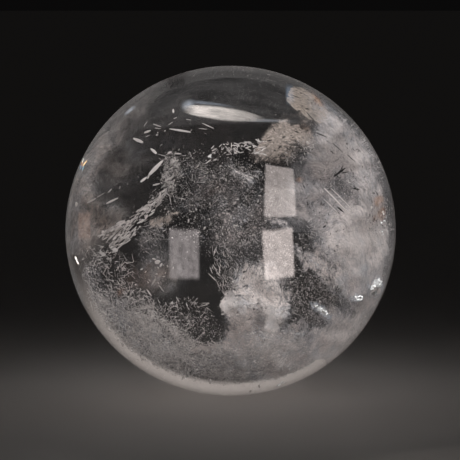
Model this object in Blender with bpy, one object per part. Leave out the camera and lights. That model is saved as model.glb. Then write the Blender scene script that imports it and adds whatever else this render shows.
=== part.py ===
"""Polished rock crystal sphere that stands by itself on a small flat.

The stone is one piece: a ground and polished ball with a small flat ground
into its underside, whose edge is eased so that it doesn't chip.

Metres, +Z up. The origin is the centre of the flat, on the surface that the
ball stands on. Run with: blender --background --python part.py
"""

import math

import bmesh
import bpy
from mathutils import Vector

# Driving dimensions
SPHERE_DIAMETER = 0.070
REST_FLAT_DIAMETER = 0.010
FLAT_EDGE_EASING = 0.0002  # width of the eased edge round the flat

# Fineness of the round surface: facets of 2.3 mm, at most 0.02 mm inside the true sphere
MERIDIANS = 96
PARALLELS = 48
EASING_STEPS = 2
SMOOTH_BELOW = math.radians(20)  # a sharper edge than this, such as the flat's, stays crisp
SAME_HEIGHT = 1e-6

# Rock crystal: colourless, fully see-through and mirror polished
QUARTZ_COLOUR = (0.93, 0.92, 0.91, 1.0)
QUARTZ_IOR = 1.544
QUARTZ_ROUGHNESS = 0.02

# Worked out from the driving dimensions
SPHERE_RADIUS = SPHERE_DIAMETER / 2
REST_FLAT_RADIUS = REST_FLAT_DIAMETER / 2
CENTRE_HEIGHT = math.sqrt(SPHERE_RADIUS**2 - REST_FLAT_RADIUS**2)


def clear_scene():
    """Removes every object that the opened file holds."""
    for thing in list(bpy.data.objects):
        bpy.data.objects.remove(thing, do_unlink=True)


def rock_crystal():
    """The see-through quartz that the whole ball is made of."""
    material = bpy.data.materials.new("rock_crystal")
    material.use_nodes = True
    shader = material.node_tree.nodes["Principled BSDF"]
    shader.inputs["Base Color"].default_value = QUARTZ_COLOUR
    shader.inputs["Metallic"].default_value = 0.0
    shader.inputs["Roughness"].default_value = QUARTZ_ROUGHNESS
    shader.inputs["IOR"].default_value = QUARTZ_IOR
    shader.inputs["Transmission Weight"].default_value = 1.0
    return material


def grind_flat(ball):
    """Cuts the ball's underside off level at z = 0 and closes the cut with one face."""
    everything = ball.verts[:] + ball.edges[:] + ball.faces[:]
    bmesh.ops.bisect_plane(
        ball,
        geom=everything,
        plane_co=Vector((0, 0, 0)),
        plane_no=Vector((0, 0, -1)),
        clear_outer=True,
    )
    rim = [edge for edge in ball.edges if edge.is_boundary]
    bmesh.ops.contextual_create(ball, geom=rim)


def ease_flat_edge(ball):
    """Rounds the corner between the flat and the ball."""
    rim = [
        edge
        for edge in ball.edges
        if all(abs(corner.co.z) < SAME_HEIGHT for corner in edge.verts)
    ]
    bmesh.ops.bevel(
        ball,
        geom=rim,
        offset=FLAT_EDGE_EASING,
        offset_type="OFFSET",
        segments=EASING_STEPS,
        profile=0.5,
        affect="EDGES",
    )


def quartz_sphere(collection):
    """The ball, one solid, standing on its flat."""
    ball = bmesh.new()
    bmesh.ops.create_uvsphere(
        ball,
        u_segments=MERIDIANS,
        v_segments=PARALLELS,
        radius=SPHERE_RADIUS,
    )
    bmesh.ops.translate(ball, verts=ball.verts, vec=Vector((0, 0, CENTRE_HEIGHT)))
    grind_flat(ball)
    ease_flat_edge(ball)
    bmesh.ops.recalc_face_normals(ball, faces=ball.faces)

    mesh = bpy.data.meshes.new("quartz_sphere")
    ball.to_mesh(mesh)
    ball.free()
    mesh.shade_smooth()
    mesh.set_sharp_from_angle(angle=SMOOTH_BELOW)
    mesh.materials.append(rock_crystal())

    sphere = bpy.data.objects.new("quartz_sphere", mesh)
    collection.objects.link(sphere)
    return sphere


def main():
    clear_scene()
    collection = bpy.data.collections.new("quartz sphere")
    bpy.context.scene.collection.children.link(collection)
    quartz_sphere(collection)


main()
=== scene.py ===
"""Looks of the quartz sphere: a clear rock crystal ball with milky clouds, flakes and needles inside.

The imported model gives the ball's size and place. What shows inside it are healed cracks: thin milky
veils, and swarms of splinters, flakes and plates, each a small closed solid. They are laid out on the
lines of sight of the photograph, bent as the ball's own surface bends them.
"""
from __future__ import annotations

import logging
import math
from dataclasses import dataclass
from enum import Enum

import bpy
import numpy as np
from bpy.types import Material, Node, NodeSocket, NodeTree, Object
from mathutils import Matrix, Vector


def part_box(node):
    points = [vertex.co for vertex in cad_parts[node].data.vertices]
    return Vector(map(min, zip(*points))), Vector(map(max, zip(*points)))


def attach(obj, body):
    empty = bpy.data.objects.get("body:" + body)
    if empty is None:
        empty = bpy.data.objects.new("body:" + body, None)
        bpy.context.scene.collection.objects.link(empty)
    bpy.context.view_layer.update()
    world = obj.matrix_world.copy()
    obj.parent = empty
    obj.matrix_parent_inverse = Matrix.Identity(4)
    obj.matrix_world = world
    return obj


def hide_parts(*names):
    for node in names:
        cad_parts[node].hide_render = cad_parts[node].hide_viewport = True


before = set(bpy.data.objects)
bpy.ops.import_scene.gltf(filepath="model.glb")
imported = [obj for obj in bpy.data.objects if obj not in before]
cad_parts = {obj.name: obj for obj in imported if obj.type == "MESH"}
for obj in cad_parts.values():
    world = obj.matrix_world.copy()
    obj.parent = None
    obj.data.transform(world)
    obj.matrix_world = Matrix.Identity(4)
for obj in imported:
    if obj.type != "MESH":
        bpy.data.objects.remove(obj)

LOG = logging.getLogger("quartz_sphere")
MM = 0.001
QUARTZ_IOR = 1.544
CAD_BALL = "quartz_sphere"
BODY = "root"


def linear(hex_colour: str) -> tuple[float, float, float, float]:
    """Turns an sRGB hex colour into the linear colour that a shader takes.

    Args:
        hex_colour: Six hex digits after a hash, such as "#C8C0BA".

    Returns:
        Red, green, blue and an alpha of 1.
    """
    parts = [int(hex_colour[i : i + 2], 16) / 255 for i in (1, 3, 5)]
    red, green, blue = (p / 12.92 if p <= 0.04045 else ((p + 0.055) / 1.055) ** 2.4 for p in parts)
    return red, green, blue, 1.0


def add_node(
    tree: NodeTree,
    kind: str,
    settings: dict[str, object] | None = None,
    values: dict[str | int, object] | None = None,
    links: dict[str | int, NodeSocket] | None = None,
) -> Node:
    """Adds one node to a tree.

    Args:
        tree: The node tree.
        kind: The node's type, such as "ShaderNodeTexNoise".
        settings: The node's own properties by name.
        values: Default values by input name or number.
        links: Output sockets to join, by input name or number.

    Returns:
        The new node.
    """
    node = tree.nodes.new(kind)
    for name, value in (settings or {}).items():
        setattr(node, name, value)
    for key, value in (values or {}).items():
        node.inputs[key].default_value = value
    for key, socket in (links or {}).items():
        tree.links.new(socket, node.inputs[key])
    return node


def worked_out(
    tree: NodeTree, operation: str, *inputs: float | NodeSocket, clamp: bool = False
) -> NodeSocket:
    """Adds one Math node to a tree.

    Args:
        tree: The node tree.
        operation: The node's operation, such as "MULTIPLY".
        inputs: Its inputs in turn, each a number or an output socket.
        clamp: Whether its result is kept from 0 to 1.

    Returns:
        Its output socket.
    """
    node = add_node(tree, "ShaderNodeMath", {"operation": operation, "use_clamp": clamp})
    for number, given in enumerate(inputs):
        if isinstance(given, NodeSocket):
            tree.links.new(given, node.inputs[number])
        else:
            node.inputs[number].default_value = given
    return node.outputs[0]


def ranged(
    tree: NodeTree,
    value: NodeSocket,
    span: tuple[float, float],
    to: tuple[float, float] = (0.0, 1.0),
    smooth: bool = True,
) -> NodeSocket:
    """Adds a Map Range node to a tree.

    Args:
        tree: The node tree.
        value: The value to map.
        span: The two values between which it is mapped, and beyond which it is held.
        to: What they are mapped to.
        smooth: Whether the result eases in and out.

    Returns:
        Its output socket.
    """
    return add_node(
        tree,
        "ShaderNodeMapRange",
        {"interpolation_type": "SMOOTHSTEP" if smooth else "LINEAR"},
        {"From Min": span[0], "From Max": span[1], "To Min": to[0], "To Max": to[1]},
        {"Value": value},
    ).outputs["Result"]


def blended(
    tree: NodeTree, share: NodeSocket, first: str | NodeSocket, second: str | NodeSocket
) -> NodeSocket:
    """Adds a node that mixes two colours.

    Args:
        tree: The node tree.
        share: How much of the second colour there is.
        first: A hex colour or a colour socket.
        second: The same for the other colour.

    Returns:
        Its output socket.
    """
    node = add_node(tree, "ShaderNodeMix", {"data_type": "RGBA"}, links={0: share})
    for number, colour in ((6, first), (7, second)):
        if isinstance(colour, str):
            node.inputs[number].default_value = linear(colour)
        else:
            tree.links.new(colour, node.inputs[number])
    return node.outputs[2]


def noise(
    tree: NodeTree,
    vector: NodeSocket,
    scale: float,
    detail: float,
    roughness: float = 0.5,
    distortion: float = 0.0,
) -> Node:
    """Adds a Noise Texture node to a tree.

    Args:
        tree: The node tree.
        vector: The place at which it is read.
        scale: How many of its largest bumps fit in one unit.
        detail: How many finer layers it has.
        roughness: How strong the finer layers are.
        distortion: How far it is twisted.

    Returns:
        The new node.
    """
    return add_node(
        tree,
        "ShaderNodeTexNoise",
        values={"Scale": scale, "Detail": detail, "Roughness": roughness, "Distortion": distortion},
        links={"Vector": vector},
    )


def surfaced(
    tree: NodeTree, values: dict[str | int, object], links: dict[str | int, NodeSocket] | None = None
) -> Node:
    """Ends a material's tree with a Principled shader and the output.

    Args:
        tree: The material's node tree.
        values: The shader's constants by input name.
        links: The sockets that set its other inputs.

    Returns:
        The output node.
    """
    shader = add_node(tree, "ShaderNodeBsdfPrincipled", values=values, links=links)
    return add_node(tree, "ShaderNodeOutputMaterial", links={"Surface": shader.outputs["BSDF"]})


def empty_material(name: str) -> tuple[Material, NodeTree]:
    """Makes a material whose node tree holds nothing yet.

    Args:
        name: The material's name.

    Returns:
        The material and its node tree.
    """
    material = bpy.data.materials.new(name)
    material.use_nodes = True
    material.node_tree.nodes.clear()
    return material, material.node_tree


def many(kind: type, *rows: tuple[float, ...]) -> tuple:
    """Makes things of one kind, each from a row of its values in the order of the kind's attributes."""
    return tuple(kind(*row) for row in rows)


@dataclass(frozen=True)
class BallShape:
    """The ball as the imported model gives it, in metres."""

    radius: float
    centre: Vector

    @classmethod
    def from_frame(cls) -> BallShape:
        """Reads the ball's radius and centre from the CAD node's box.

        Returns:
            The ball.
        """
        low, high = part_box(CAD_BALL)
        radius = (high.x - low.x) / 2
        return cls(radius, Vector(((low.x + high.x) / 2, (low.y + high.y) / 2, high.z - radius)))


@dataclass(frozen=True)
class Sight:
    """The photograph's view of the ball: its frame in pixels and where its camera stands.

    Attributes:
        ball: The ball that is looked at.
        picture_side: Width and height of the photograph.
        ball_x: The ball's middle in the photograph, from the left.
        ball_y: The ball's middle in the photograph, from the top.
        ball_radius: The ball's radius in the photograph.
        distance: From the camera to the ball's centre, in metres.
        elevation: How far the camera looks down, in degrees.
    """

    ball: BallShape
    picture_side: float = 460.0
    ball_x: float = 230.6
    ball_y: float = 230.9
    ball_radius: float = 165.3
    distance: float = 0.60
    elevation: float = 6.0

    CRESCENT = 0.92  # where the clear crescent starts, as a share of the ball's radius
    CRESCENT_EDGE = 0.04  # the strip beyond that over which what lies inside thins out
    CRESCENT_ENDS = (-80, 35)  # degrees counterclockwise from the bottom
    SENSOR_MM = 36.0
    CLIPPING = (0.01, 20.0)
    GRAZING = 0.9985  # the share of the radius beyond which a pixel counts as the rim

    @property
    def half_view(self) -> float:
        """The tangent of half the angle of view."""
        edge = math.tan(math.asin(self.ball.radius / self.distance))
        return edge * self.picture_side / 2 / self.ball_radius

    @property
    def axes(self) -> tuple[np.ndarray, np.ndarray, np.ndarray]:
        """The camera's own directions.

        Returns:
            Its right, its up and its forward direction.
        """
        tilt = math.radians(self.elevation)
        right = np.array((1.0, 0.0, 0.0))
        up = np.array((0.0, math.sin(tilt), math.cos(tilt)))
        forward = np.array((0.0, math.cos(tilt), -math.sin(tilt)))
        return right, up, forward

    def place_camera(self) -> Object:
        """Makes the camera that frames the ball as the photograph does.

        Returns:
            The camera.
        """
        _, _, forward = self.axes
        lens = bpy.data.cameras.new("photograph_view")
        lens.sensor_width = self.SENSOR_MM
        lens.lens = lens.sensor_width / 2 / self.half_view
        lens.shift_x = (self.picture_side / 2 - self.ball_x) / self.picture_side
        lens.shift_y = (self.ball_y - self.picture_side / 2) / self.picture_side
        lens.clip_start, lens.clip_end = self.CLIPPING
        camera = bpy.data.objects.new("photograph_view", lens)
        bpy.context.scene.collection.objects.link(camera)
        camera.location = self.ball.centre - Vector(forward) * self.distance
        camera.rotation_euler = Vector(forward).to_track_quat("-Z", "Y").to_euler()
        bpy.context.scene.camera = camera
        return camera

    def _met(self, x: np.ndarray, y: np.ndarray) -> tuple[np.ndarray, np.ndarray, np.ndarray]:
        """Follows the rays of some pixels to the ball's near surface.

        Args:
            x: Pixels from the left of the photograph.
            y: Pixels from its top.

        Returns:
            The rays' directions, where they meet the ball from its centre, and the surface's normals.
        """
        right, up, forward = self.axes
        across = (np.asarray(x, float) - self.ball_x) / self.ball_radius
        upward = (self.ball_y - np.asarray(y, float)) / self.ball_radius
        reach = np.maximum(np.hypot(across, upward) / self.GRAZING, 1.0)
        edge = math.tan(math.asin(self.ball.radius / self.distance))
        slope_x, slope_y = across / reach * edge, upward / reach * edge
        ray = forward + slope_x[:, None] * right + slope_y[:, None] * up
        ray /= np.linalg.norm(ray, axis=1)[:, None]
        eye = -forward * self.distance
        along = ray @ eye
        hit = eye + ray * (-along - np.sqrt(along**2 - self.distance**2 + self.ball.radius**2))[:, None]
        return ray, hit, hit / self.ball.radius

    @staticmethod
    def _bend(ray: np.ndarray, normal: np.ndarray, ratio: float) -> np.ndarray:
        """Bends rays at a surface.

        Args:
            ray: Directions before the surface.
            normal: The surface's normals, against the rays.
            ratio: The index of refraction before the surface over that behind it.

        Returns:
            Directions behind the surface.
        """
        facing = -(ray * normal).sum(1)
        inner = np.sqrt(np.maximum(1 - ratio**2 * (1 - facing**2), 0))
        return ratio * ray + (ratio * facing - inner)[:, None] * normal

    def into_ball(self, x: np.ndarray, y: np.ndarray, depth: np.ndarray) -> np.ndarray:
        """Finds the points in the ball that the photograph shows at given pixels.

        Args:
            x: Pixels from the left of the photograph.
            y: Pixels from its top.
            depth: From 0 at the ball's near surface to 1 at its far surface, along the bent ray.

        Returns:
            One point a row, in metres in the ball's frame.
        """
        ray, hit, normal = self._met(x, y)
        bent = self._bend(ray, normal, 1 / QUARTZ_IOR)
        chord = -2 * (hit * bent).sum(1)
        return hit + bent * (chord * depth)[:, None] + np.array(self.ball.centre)

    def clear_of_crescent(self, x: np.ndarray, y: np.ndarray) -> np.ndarray:
        """Says how far pixels lie from the clear crescent along the ball's lower rim.

        Args:
            x: Pixels from the left of the photograph.
            y: Pixels from its top.

        Returns:
            From 0 in the crescent to 1 away from it.
        """
        right, down = x - self.ball_x, y - self.ball_y
        reach = np.hypot(right, down) / self.ball_radius
        from_bottom = np.degrees(np.arctan2(right, down))
        share = np.clip((self.CRESCENT - reach) / self.CRESCENT_EDGE + 1, 0, 1)
        first, last = self.CRESCENT_ENDS
        return np.where((from_bottom > first) & (from_bottom < last), share, 1.0)

    def plate_turns(
        self, x: np.ndarray, y: np.ndarray, depth: np.ndarray, angle: np.ndarray
    ) -> tuple[np.ndarray, np.ndarray]:
        """Turns flat plates in the ball so that they face the viewer and run along a line in the picture.

        Args:
            x: Each plate's middle, in pixels from the left of the photograph.
            y: Its middle, in pixels from the top.
            depth: How deep it lies, from 0 to 1.
            angle: Degrees that its long side rises to the right in the photograph.

        Returns:
            A rotation matrix for each plate, with its long side along X and its face along Z, and how
            many metres one pixel is there.
        """
        run, rise = np.cos(np.radians(angle)), -np.sin(np.radians(angle))
        here = self.into_ball(x, y, depth)
        along = self.into_ball(x + run, y + rise, depth) - here
        across = self.into_ball(x + rise, y - run, depth) - here
        pixel = np.linalg.norm(along, axis=1)
        along /= pixel[:, None]
        face = np.cross(along, across)
        face /= np.linalg.norm(face, axis=1)[:, None]
        return np.stack((along, np.cross(face, along), face), axis=2), pixel

    def glint_turns(self, x: np.ndarray, y: np.ndarray, lamp: Vector, angle: np.ndarray) -> np.ndarray:
        """Turns flat plates in the ball so that they mirror a lamp to the viewer.

        Args:
            x: Each plate's middle, in pixels from the left of the photograph.
            y: Its middle, in pixels from the top.
            lamp: The direction from the ball to the lamp.
            angle: Degrees that its long side is turned about its face.

        Returns:
            A rotation matrix for each plate, with its face along Z.
        """
        ray, _, normal = self._met(x, y)
        face = np.array(lamp.normalized()) - self._bend(ray, normal, 1 / QUARTZ_IOR)
        face /= np.linalg.norm(face, axis=1)[:, None]
        level = np.cross(face, np.array((0.0, 0.0, 1.0)))
        level /= np.linalg.norm(level, axis=1)[:, None]
        rise = np.cross(face, level)
        run = np.cos(np.radians(angle))[:, None] * level + np.sin(np.radians(angle))[:, None] * rise
        return np.stack((run, np.cross(face, run), face), axis=2)

    def seen_in_ball(self, x: np.ndarray, y: np.ndarray, through: Through, reach: float) -> np.ndarray:
        """Finds the points outside the ball that it shows at given pixels.

        Args:
            x: Pixels from the left of the photograph.
            y: Pixels from its top.
            through: Whether the ball mirrors the points or bends their light.
            reach: How far the points are from where the ray leaves the ball, in metres.

        Returns:
            One point a row, in metres.
        """
        ray, hit, normal = self._met(x, y)
        if through is Through.MIRRORED:
            away = ray - 2 * (ray * normal).sum(1)[:, None] * normal
        else:
            inner = self._bend(ray, normal, 1 / QUARTZ_IOR)
            hit = hit - inner * (2 * (hit * inner).sum(1))[:, None]
            away = self._bend(inner, -hit / self.ball.radius, QUARTZ_IOR)
        return hit + away * reach + np.array(self.ball.centre)


class CloudNoise:
    """Smooth random texture in space, which gives clouds and sheets their wisps and gaps."""

    GRID = 24
    FINER = 2.07  # how much finer each copy is than the last
    WEAKER = 0.55
    APART = 5.3  # keeps the copies' grids from lying over one another

    def __init__(self, seed: int) -> None:
        """Fills the repeating grid of random values.

        Args:
            seed: Makes this texture differ from the others.
        """
        self.values = np.random.default_rng(seed).random((self.GRID,) * 3)

    def at(self, points: np.ndarray) -> np.ndarray:
        """Reads the texture once, blending smoothly between the grid's values.

        Args:
            points: Places in units of one grid step.

        Returns:
            A value from 0 to 1 for each place.
        """
        cell = np.floor(points).astype(int)
        t = points - cell
        t = t * t * (3 - 2 * t)
        total = np.zeros(len(points))
        for corner in np.ndindex(2, 2, 2):
            weight = np.prod(np.where(corner, t, 1 - t), axis=1)
            i, j, k = ((cell + corner) % self.GRID).T
            total += weight * self.values[i, j, k]
        return total

    def layered(self, points: np.ndarray, octaves: int = 4) -> np.ndarray:
        """Adds finer and finer copies of the texture.

        Args:
            points: Places in units of the coarsest step.
            octaves: How many copies are added.

        Returns:
            A value from 0 to 1 for each place, about 0.5 on average.
        """
        total, weights = np.zeros(len(points)), 0.0
        for step in range(octaves):
            total += self.at(points * self.FINER**step + self.APART * step) * self.WEAKER**step
            weights += self.WEAKER**step
        return total / weights


def turns_along(rng: np.random.Generator, axes: np.ndarray) -> np.ndarray:
    """Makes rotation matrices that point each grain's own Z along a direction, and turn it freely about it.

    Args:
        rng: The source of random numbers.
        axes: One direction a row, of any length.

    Returns:
        One 3 by 3 matrix for each direction.
    """
    z = axes / np.linalg.norm(axes, axis=1)[:, None]
    x = np.cross(z, rng.normal(size=z.shape))
    x /= np.linalg.norm(x, axis=1)[:, None]
    return np.stack((x, np.cross(z, x), z), axis=2)


class GrainShape(Enum):
    """The small solids that the inclusions are made of."""

    CRUMB = "crumb"
    SPLINTER = "splinter"
    PLATE = "plate"
    BLADE = "blade"


class GrainPattern:
    """One grain of a shape, 1 unit across, modelled once and copied into every swarm."""

    BEVEL = 0.06
    TAPER = 0.35  # how much narrower a blade is at its pointed end

    def __init__(self, shape: GrainShape) -> None:
        """Models the grain.

        Args:
            shape: Which grain to model.
        """
        bpy.ops.object.select_all(action="DESELECT")
        makers = {
            GrainShape.CRUMB: self._crumb,
            GrainShape.SPLINTER: self._splinter,
            GrainShape.PLATE: self._plate,
            GrainShape.BLADE: self._blade,
        }
        makers[shape]()
        grain = bpy.context.object
        bpy.ops.object.transform_apply(location=True, rotation=True, scale=True)
        mesh = grain.data
        self.corners = np.array([v.co for v in mesh.vertices], float)
        self.faces = [list(p.vertices) for p in mesh.polygons]
        bpy.data.objects.remove(grain)
        bpy.data.meshes.remove(mesh)

    def _crumb(self) -> None:
        """A three-sided pyramid, the least solid that a crumb of milky quartz can be."""
        bpy.ops.mesh.primitive_cone_add(vertices=3, radius1=0.6, depth=0.8)

    def _splinter(self) -> None:
        """A long three-sided spike."""
        bpy.ops.mesh.primitive_cone_add(vertices=3, radius1=0.5, depth=1.0)

    def _plate(self) -> None:
        """A low five-sided pyramid that comes to an edge all round, as a healed pocket does."""
        bpy.ops.mesh.primitive_cone_add(vertices=5, radius1=0.5, depth=1.0)

    def _blade(self) -> None:
        """A long flat lozenge with a blunt and a pointed end and bevelled edges."""
        bpy.ops.mesh.primitive_cylinder_add(vertices=6, radius=0.5, depth=1.0)
        bpy.ops.object.mode_set(mode="EDIT")
        bpy.ops.mesh.select_all(action="SELECT")
        bpy.ops.mesh.bevel(offset=self.BEVEL, segments=1, affect="EDGES")
        bpy.ops.object.mode_set(mode="OBJECT")
        for corner in bpy.context.object.data.vertices:
            corner.co.y *= 1.0 - self.TAPER * (corner.co.x + 0.5)


def joined_grains(
    name: str,
    pattern: GrainPattern,
    places: np.ndarray,
    turns: np.ndarray,
    sizes: np.ndarray,
    tones: np.ndarray,
) -> Object:
    """Copies a grain to many places and joins the copies in one mesh.

    Args:
        name: The piece's name.
        pattern: The grain to copy.
        places: The middle of each copy, in metres.
        turns: A rotation matrix for each copy.
        sizes: Each copy's size along its own three axes, in metres.
        tones: How bright each copy is, from 0 to 1, kept as the attribute "tone".

    Returns:
        The new piece, whose object sits at the origin.
    """
    count, corner_count = len(places), len(pattern.corners)
    grown = pattern.corners[None] * sizes[:, None, :]
    points = np.einsum("nij,nkj->nki", turns, grown) + places[:, None, :]
    loops = np.concatenate([np.array(f) for f in pattern.faces])
    lengths = np.array([len(f) for f in pattern.faces])
    starts = np.concatenate(([0], np.cumsum(lengths)[:-1]))
    offsets = np.arange(count)[:, None]
    mesh = bpy.data.meshes.new(name)
    mesh.vertices.add(count * corner_count)
    mesh.vertices.foreach_set("co", points.astype(np.float32).ravel())
    mesh.loops.add(count * len(loops))
    mesh.loops.foreach_set("vertex_index", (loops + offsets * corner_count).ravel().astype(np.int32))
    mesh.polygons.add(count * len(lengths))
    mesh.polygons.foreach_set("loop_start", (starts + offsets * len(loops)).ravel().astype(np.int32))
    tone = mesh.attributes.new("tone", "FLOAT", "POINT")
    tone.data.foreach_set("value", np.repeat(tones, corner_count).astype(np.float32))
    mesh.update(calc_edges=True)
    mesh.validate()
    piece = bpy.data.objects.new(name, mesh)
    bpy.context.scene.collection.objects.link(piece)
    return piece


@dataclass(frozen=True)
class Oval:
    """A soft oval of the photograph in which a veil or a swarm lies, at its depth in the ball.

    Attributes:
        x: Its middle in the photograph, in pixels from the left.
        y: Its middle, in pixels from the top.
        wide: Half its width in pixels, along its own turned axis.
        high: Half its height in pixels.
        turn: Degrees that its width rises to the right.
        share: How densely it is filled, from 0 to 1.
        depth: From 0 at the ball's near surface to 1 at its far one.
        thick: How much depth a swarm takes up to each side.
    """

    x: float
    y: float
    wide: float
    high: float
    turn: float = 0.0
    share: float = 1.0
    depth: float = 0.4
    thick: float = 0.2

    HAZE_FALL = (1.2, 1.4)  # how fast its haze thins out, and how abruptly
    RAGGED = 0.12  # how far grains stray over its edge

    def own(self, x: np.ndarray, y: np.ndarray) -> tuple[np.ndarray, np.ndarray]:
        """Turns pixels into the oval's own width and height, each from -1 to 1 at its edge.

        Args:
            x: Pixels from the left of the photograph.
            y: Pixels from its top.

        Returns:
            Places along its width and along its height.
        """
        turn = math.radians(self.turn)
        right, up = x - self.x, self.y - y
        u = (right * math.cos(turn) + up * math.sin(turn)) / self.wide
        v = (up * math.cos(turn) - right * math.sin(turn)) / self.high
        return u, v

    def cover(self, x: np.ndarray, y: np.ndarray) -> np.ndarray:
        """Says how much of the oval lies at some pixels, from 0 to 1."""
        u, v = self.own(x, y)
        return np.exp(-self.HAZE_FALL[0] * (u * u + v * v) ** self.HAZE_FALL[1])

    def draw(self, rng: np.random.Generator, count: int) -> tuple[np.ndarray, np.ndarray, np.ndarray]:
        """Draws random places in the oval.

        Args:
            rng: The source of random numbers.
            count: How many places.

        Returns:
            Their pixels from the left and from the top, and their depths.
        """
        reach = np.sqrt(rng.random(count)) * (1 + rng.normal(0, self.RAGGED, count))
        way = rng.uniform(0, 2 * math.pi, count)
        u, v = reach * np.cos(way), reach * np.sin(way)
        turn = math.radians(self.turn)
        right = u * self.wide * math.cos(turn) - v * self.high * math.sin(turn)
        up = u * self.wide * math.sin(turn) + v * self.high * math.cos(turn)
        return self.x + right, self.y - up, self.depth + rng.normal(0, 0.5, count) * self.thick


@dataclass(frozen=True)
class Swarm:
    """A swarm of splinters, crumbs or plates: which grains it has, and how they lie.

    Attributes:
        name: The piece's name.
        shape: Its grains.
        count: How many grains.
        length: The shortest and the longest grain, in millimetres.
        width: How wide a grain is against its length.
        thickness: How thick a grain is against its length.
        ovals: Where it lies.
        wisp: The size of its wisps, in millimetres.
        gaps: From 0, filled evenly, to 1, mostly gaps.
        dull: The share of the grains that are greyer.
        stray: The share of the grains that lie in the gaps.
        dark: Whether its grains take the near-black crack colour, a painted dark reflection.
        seed: Makes this swarm differ from the others.
    """

    name: str
    shape: GrainShape
    count: int
    length: tuple[float, float]
    width: float
    thickness: float
    ovals: tuple[Oval, ...]
    wisp: float = 5.0
    gaps: float = 0.5
    dull: float = 0.5
    stray: float = 0.03
    dark: bool = False
    seed: int = 1

    CLEAR_SKIN = 0.35 * MM
    SMALL_MOST = 2.5  # how strongly small grains outnumber large ones
    FLOW = 0.5  # from 0, grains that point every way, to 1, grains that follow a common flow
    FLOW_SIZE = 2.5  # the flow's bends against the wisps
    GAP_EDGE = (0.35, 0.25)  # the texture above which grains lie without gaps, and what gaps add
    GAP_SOFT = 0.06
    SIZES = (0.55, 1.45)  # how far a grain's proportions vary
    TONES = (0.75, 1.0)

    def _kept(self, rng: np.random.Generator, places: np.ndarray, ball: BallShape) -> np.ndarray:
        """Thins the drawn places out to wisps, and keeps them under the ball's surface.

        Args:
            rng: The source of random numbers.
            places: The places drawn.
            ball: The ball that they lie in.

        Returns:
            True for each place that stays.
        """
        local = places - np.array(ball.centre)
        skin = self.CLEAR_SKIN + self.length[1] * MM / 2
        inside = (np.linalg.norm(local, axis=1) < ball.radius - skin) & (places[:, 2] > skin)
        texture = CloudNoise(self.seed).layered(local / (self.wisp * MM) + 40)
        edge = self.GAP_EDGE[0] + self.GAP_EDGE[1] * self.gaps
        chance = np.clip((texture - edge) / self.GAP_SOFT + 0.5, self.stray, 1)
        return inside & (rng.random(len(places)) < chance)

    def _places(self, rng: np.random.Generator, sight: Sight) -> np.ndarray:
        """Draws the grains' places in the ball.

        Args:
            rng: The source of random numbers.
            sight: The photograph's view, which gives each pixel its place in the ball.

        Returns:
            One place a row, in metres.
        """
        weights = np.array([o.share * o.wide * o.high for o in self.ovals])
        found: list[np.ndarray] = []
        while sum(map(len, found)) < self.count:
            for oval, share in zip(self.ovals, weights / weights.sum()):
                x, y, depth = oval.draw(rng, int(3 * self.count * share) + 1)
                inner = sight.clear_of_crescent(x, y) > rng.random(len(x))
                places = sight.into_ball(x[inner], y[inner], np.clip(depth[inner], 0.0, 1.0))
                found.append(places[self._kept(rng, places, sight.ball)])
        return rng.permutation(np.concatenate(found))[: self.count]

    def _axes(self, rng: np.random.Generator, places: np.ndarray) -> np.ndarray:
        """Points the grains, partly along a flow that turns slowly from place to place.

        Args:
            rng: The source of random numbers.
            places: Where the grains are.

        Returns:
            A direction for each grain, of any length.
        """
        steps = places / (self.FLOW_SIZE * self.wisp * MM)
        flow = np.stack([CloudNoise(self.seed + k).at(steps + 7 * k) - 0.5 for k in (1, 2, 3)], axis=1)
        flow /= np.linalg.norm(flow, axis=1)[:, None] + 1e-9
        loose = rng.normal(size=places.shape)
        loose /= np.linalg.norm(loose, axis=1)[:, None]
        return loose * (1 - self.FLOW) + flow * self.FLOW + 1e-6

    def build(self, sight: Sight, pattern: GrainPattern, finish: Material) -> Object:
        """Models the swarm and dresses it.

        Args:
            sight: The photograph's view.
            pattern: The modelled grain of this swarm's shape.
            finish: The swarm's material.

        Returns:
            The new piece.
        """
        rng = np.random.default_rng(self.seed)
        places = self._places(rng, sight)
        spread = rng.random(self.count) ** self.SMALL_MOST
        length = (self.length[0] + (self.length[1] - self.length[0]) * spread) * MM
        ratios = np.array((self.width, self.thickness, 1.0))
        if self.shape is GrainShape.PLATE:
            ratios = np.array((1.0, self.width, self.thickness))
        sizes = length[:, None] * ratios * rng.uniform(*self.SIZES, (self.count, 3))
        tones = np.where(rng.random(self.count) < self.dull, rng.uniform(0, 0.5, self.count), 1.0)
        tones *= rng.uniform(*self.TONES, self.count)
        turns = turns_along(rng, self._axes(rng, places))
        piece = joined_grains(self.name, pattern, places, turns, sizes, tones)
        piece.data.materials.append(finish)
        return piece


@dataclass(frozen=True)
class Blade:
    """One bright plate that the photograph shows on its own.

    Attributes:
        x: Its middle in the photograph, in pixels from the left.
        y: Its middle, in pixels from the top.
        long: Its length in pixels.
        wide: Its width in pixels.
        angle: Degrees that it rises to the right.
        tone: How bright it is, from 0 to 1.
        depth: From 0 at the ball's near surface to 1 at its far one.
        roll: Degrees that its face is rolled away from the viewer about its length.
    """

    x: float
    y: float
    long: float
    wide: float
    angle: float = 0.0
    tone: float = 0.8
    depth: float = 0.25
    roll: float = 12.0


THICKNESS = 0.12  # a blade's thickness against its width
THINNEST = 0.25  # in pixels


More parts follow.
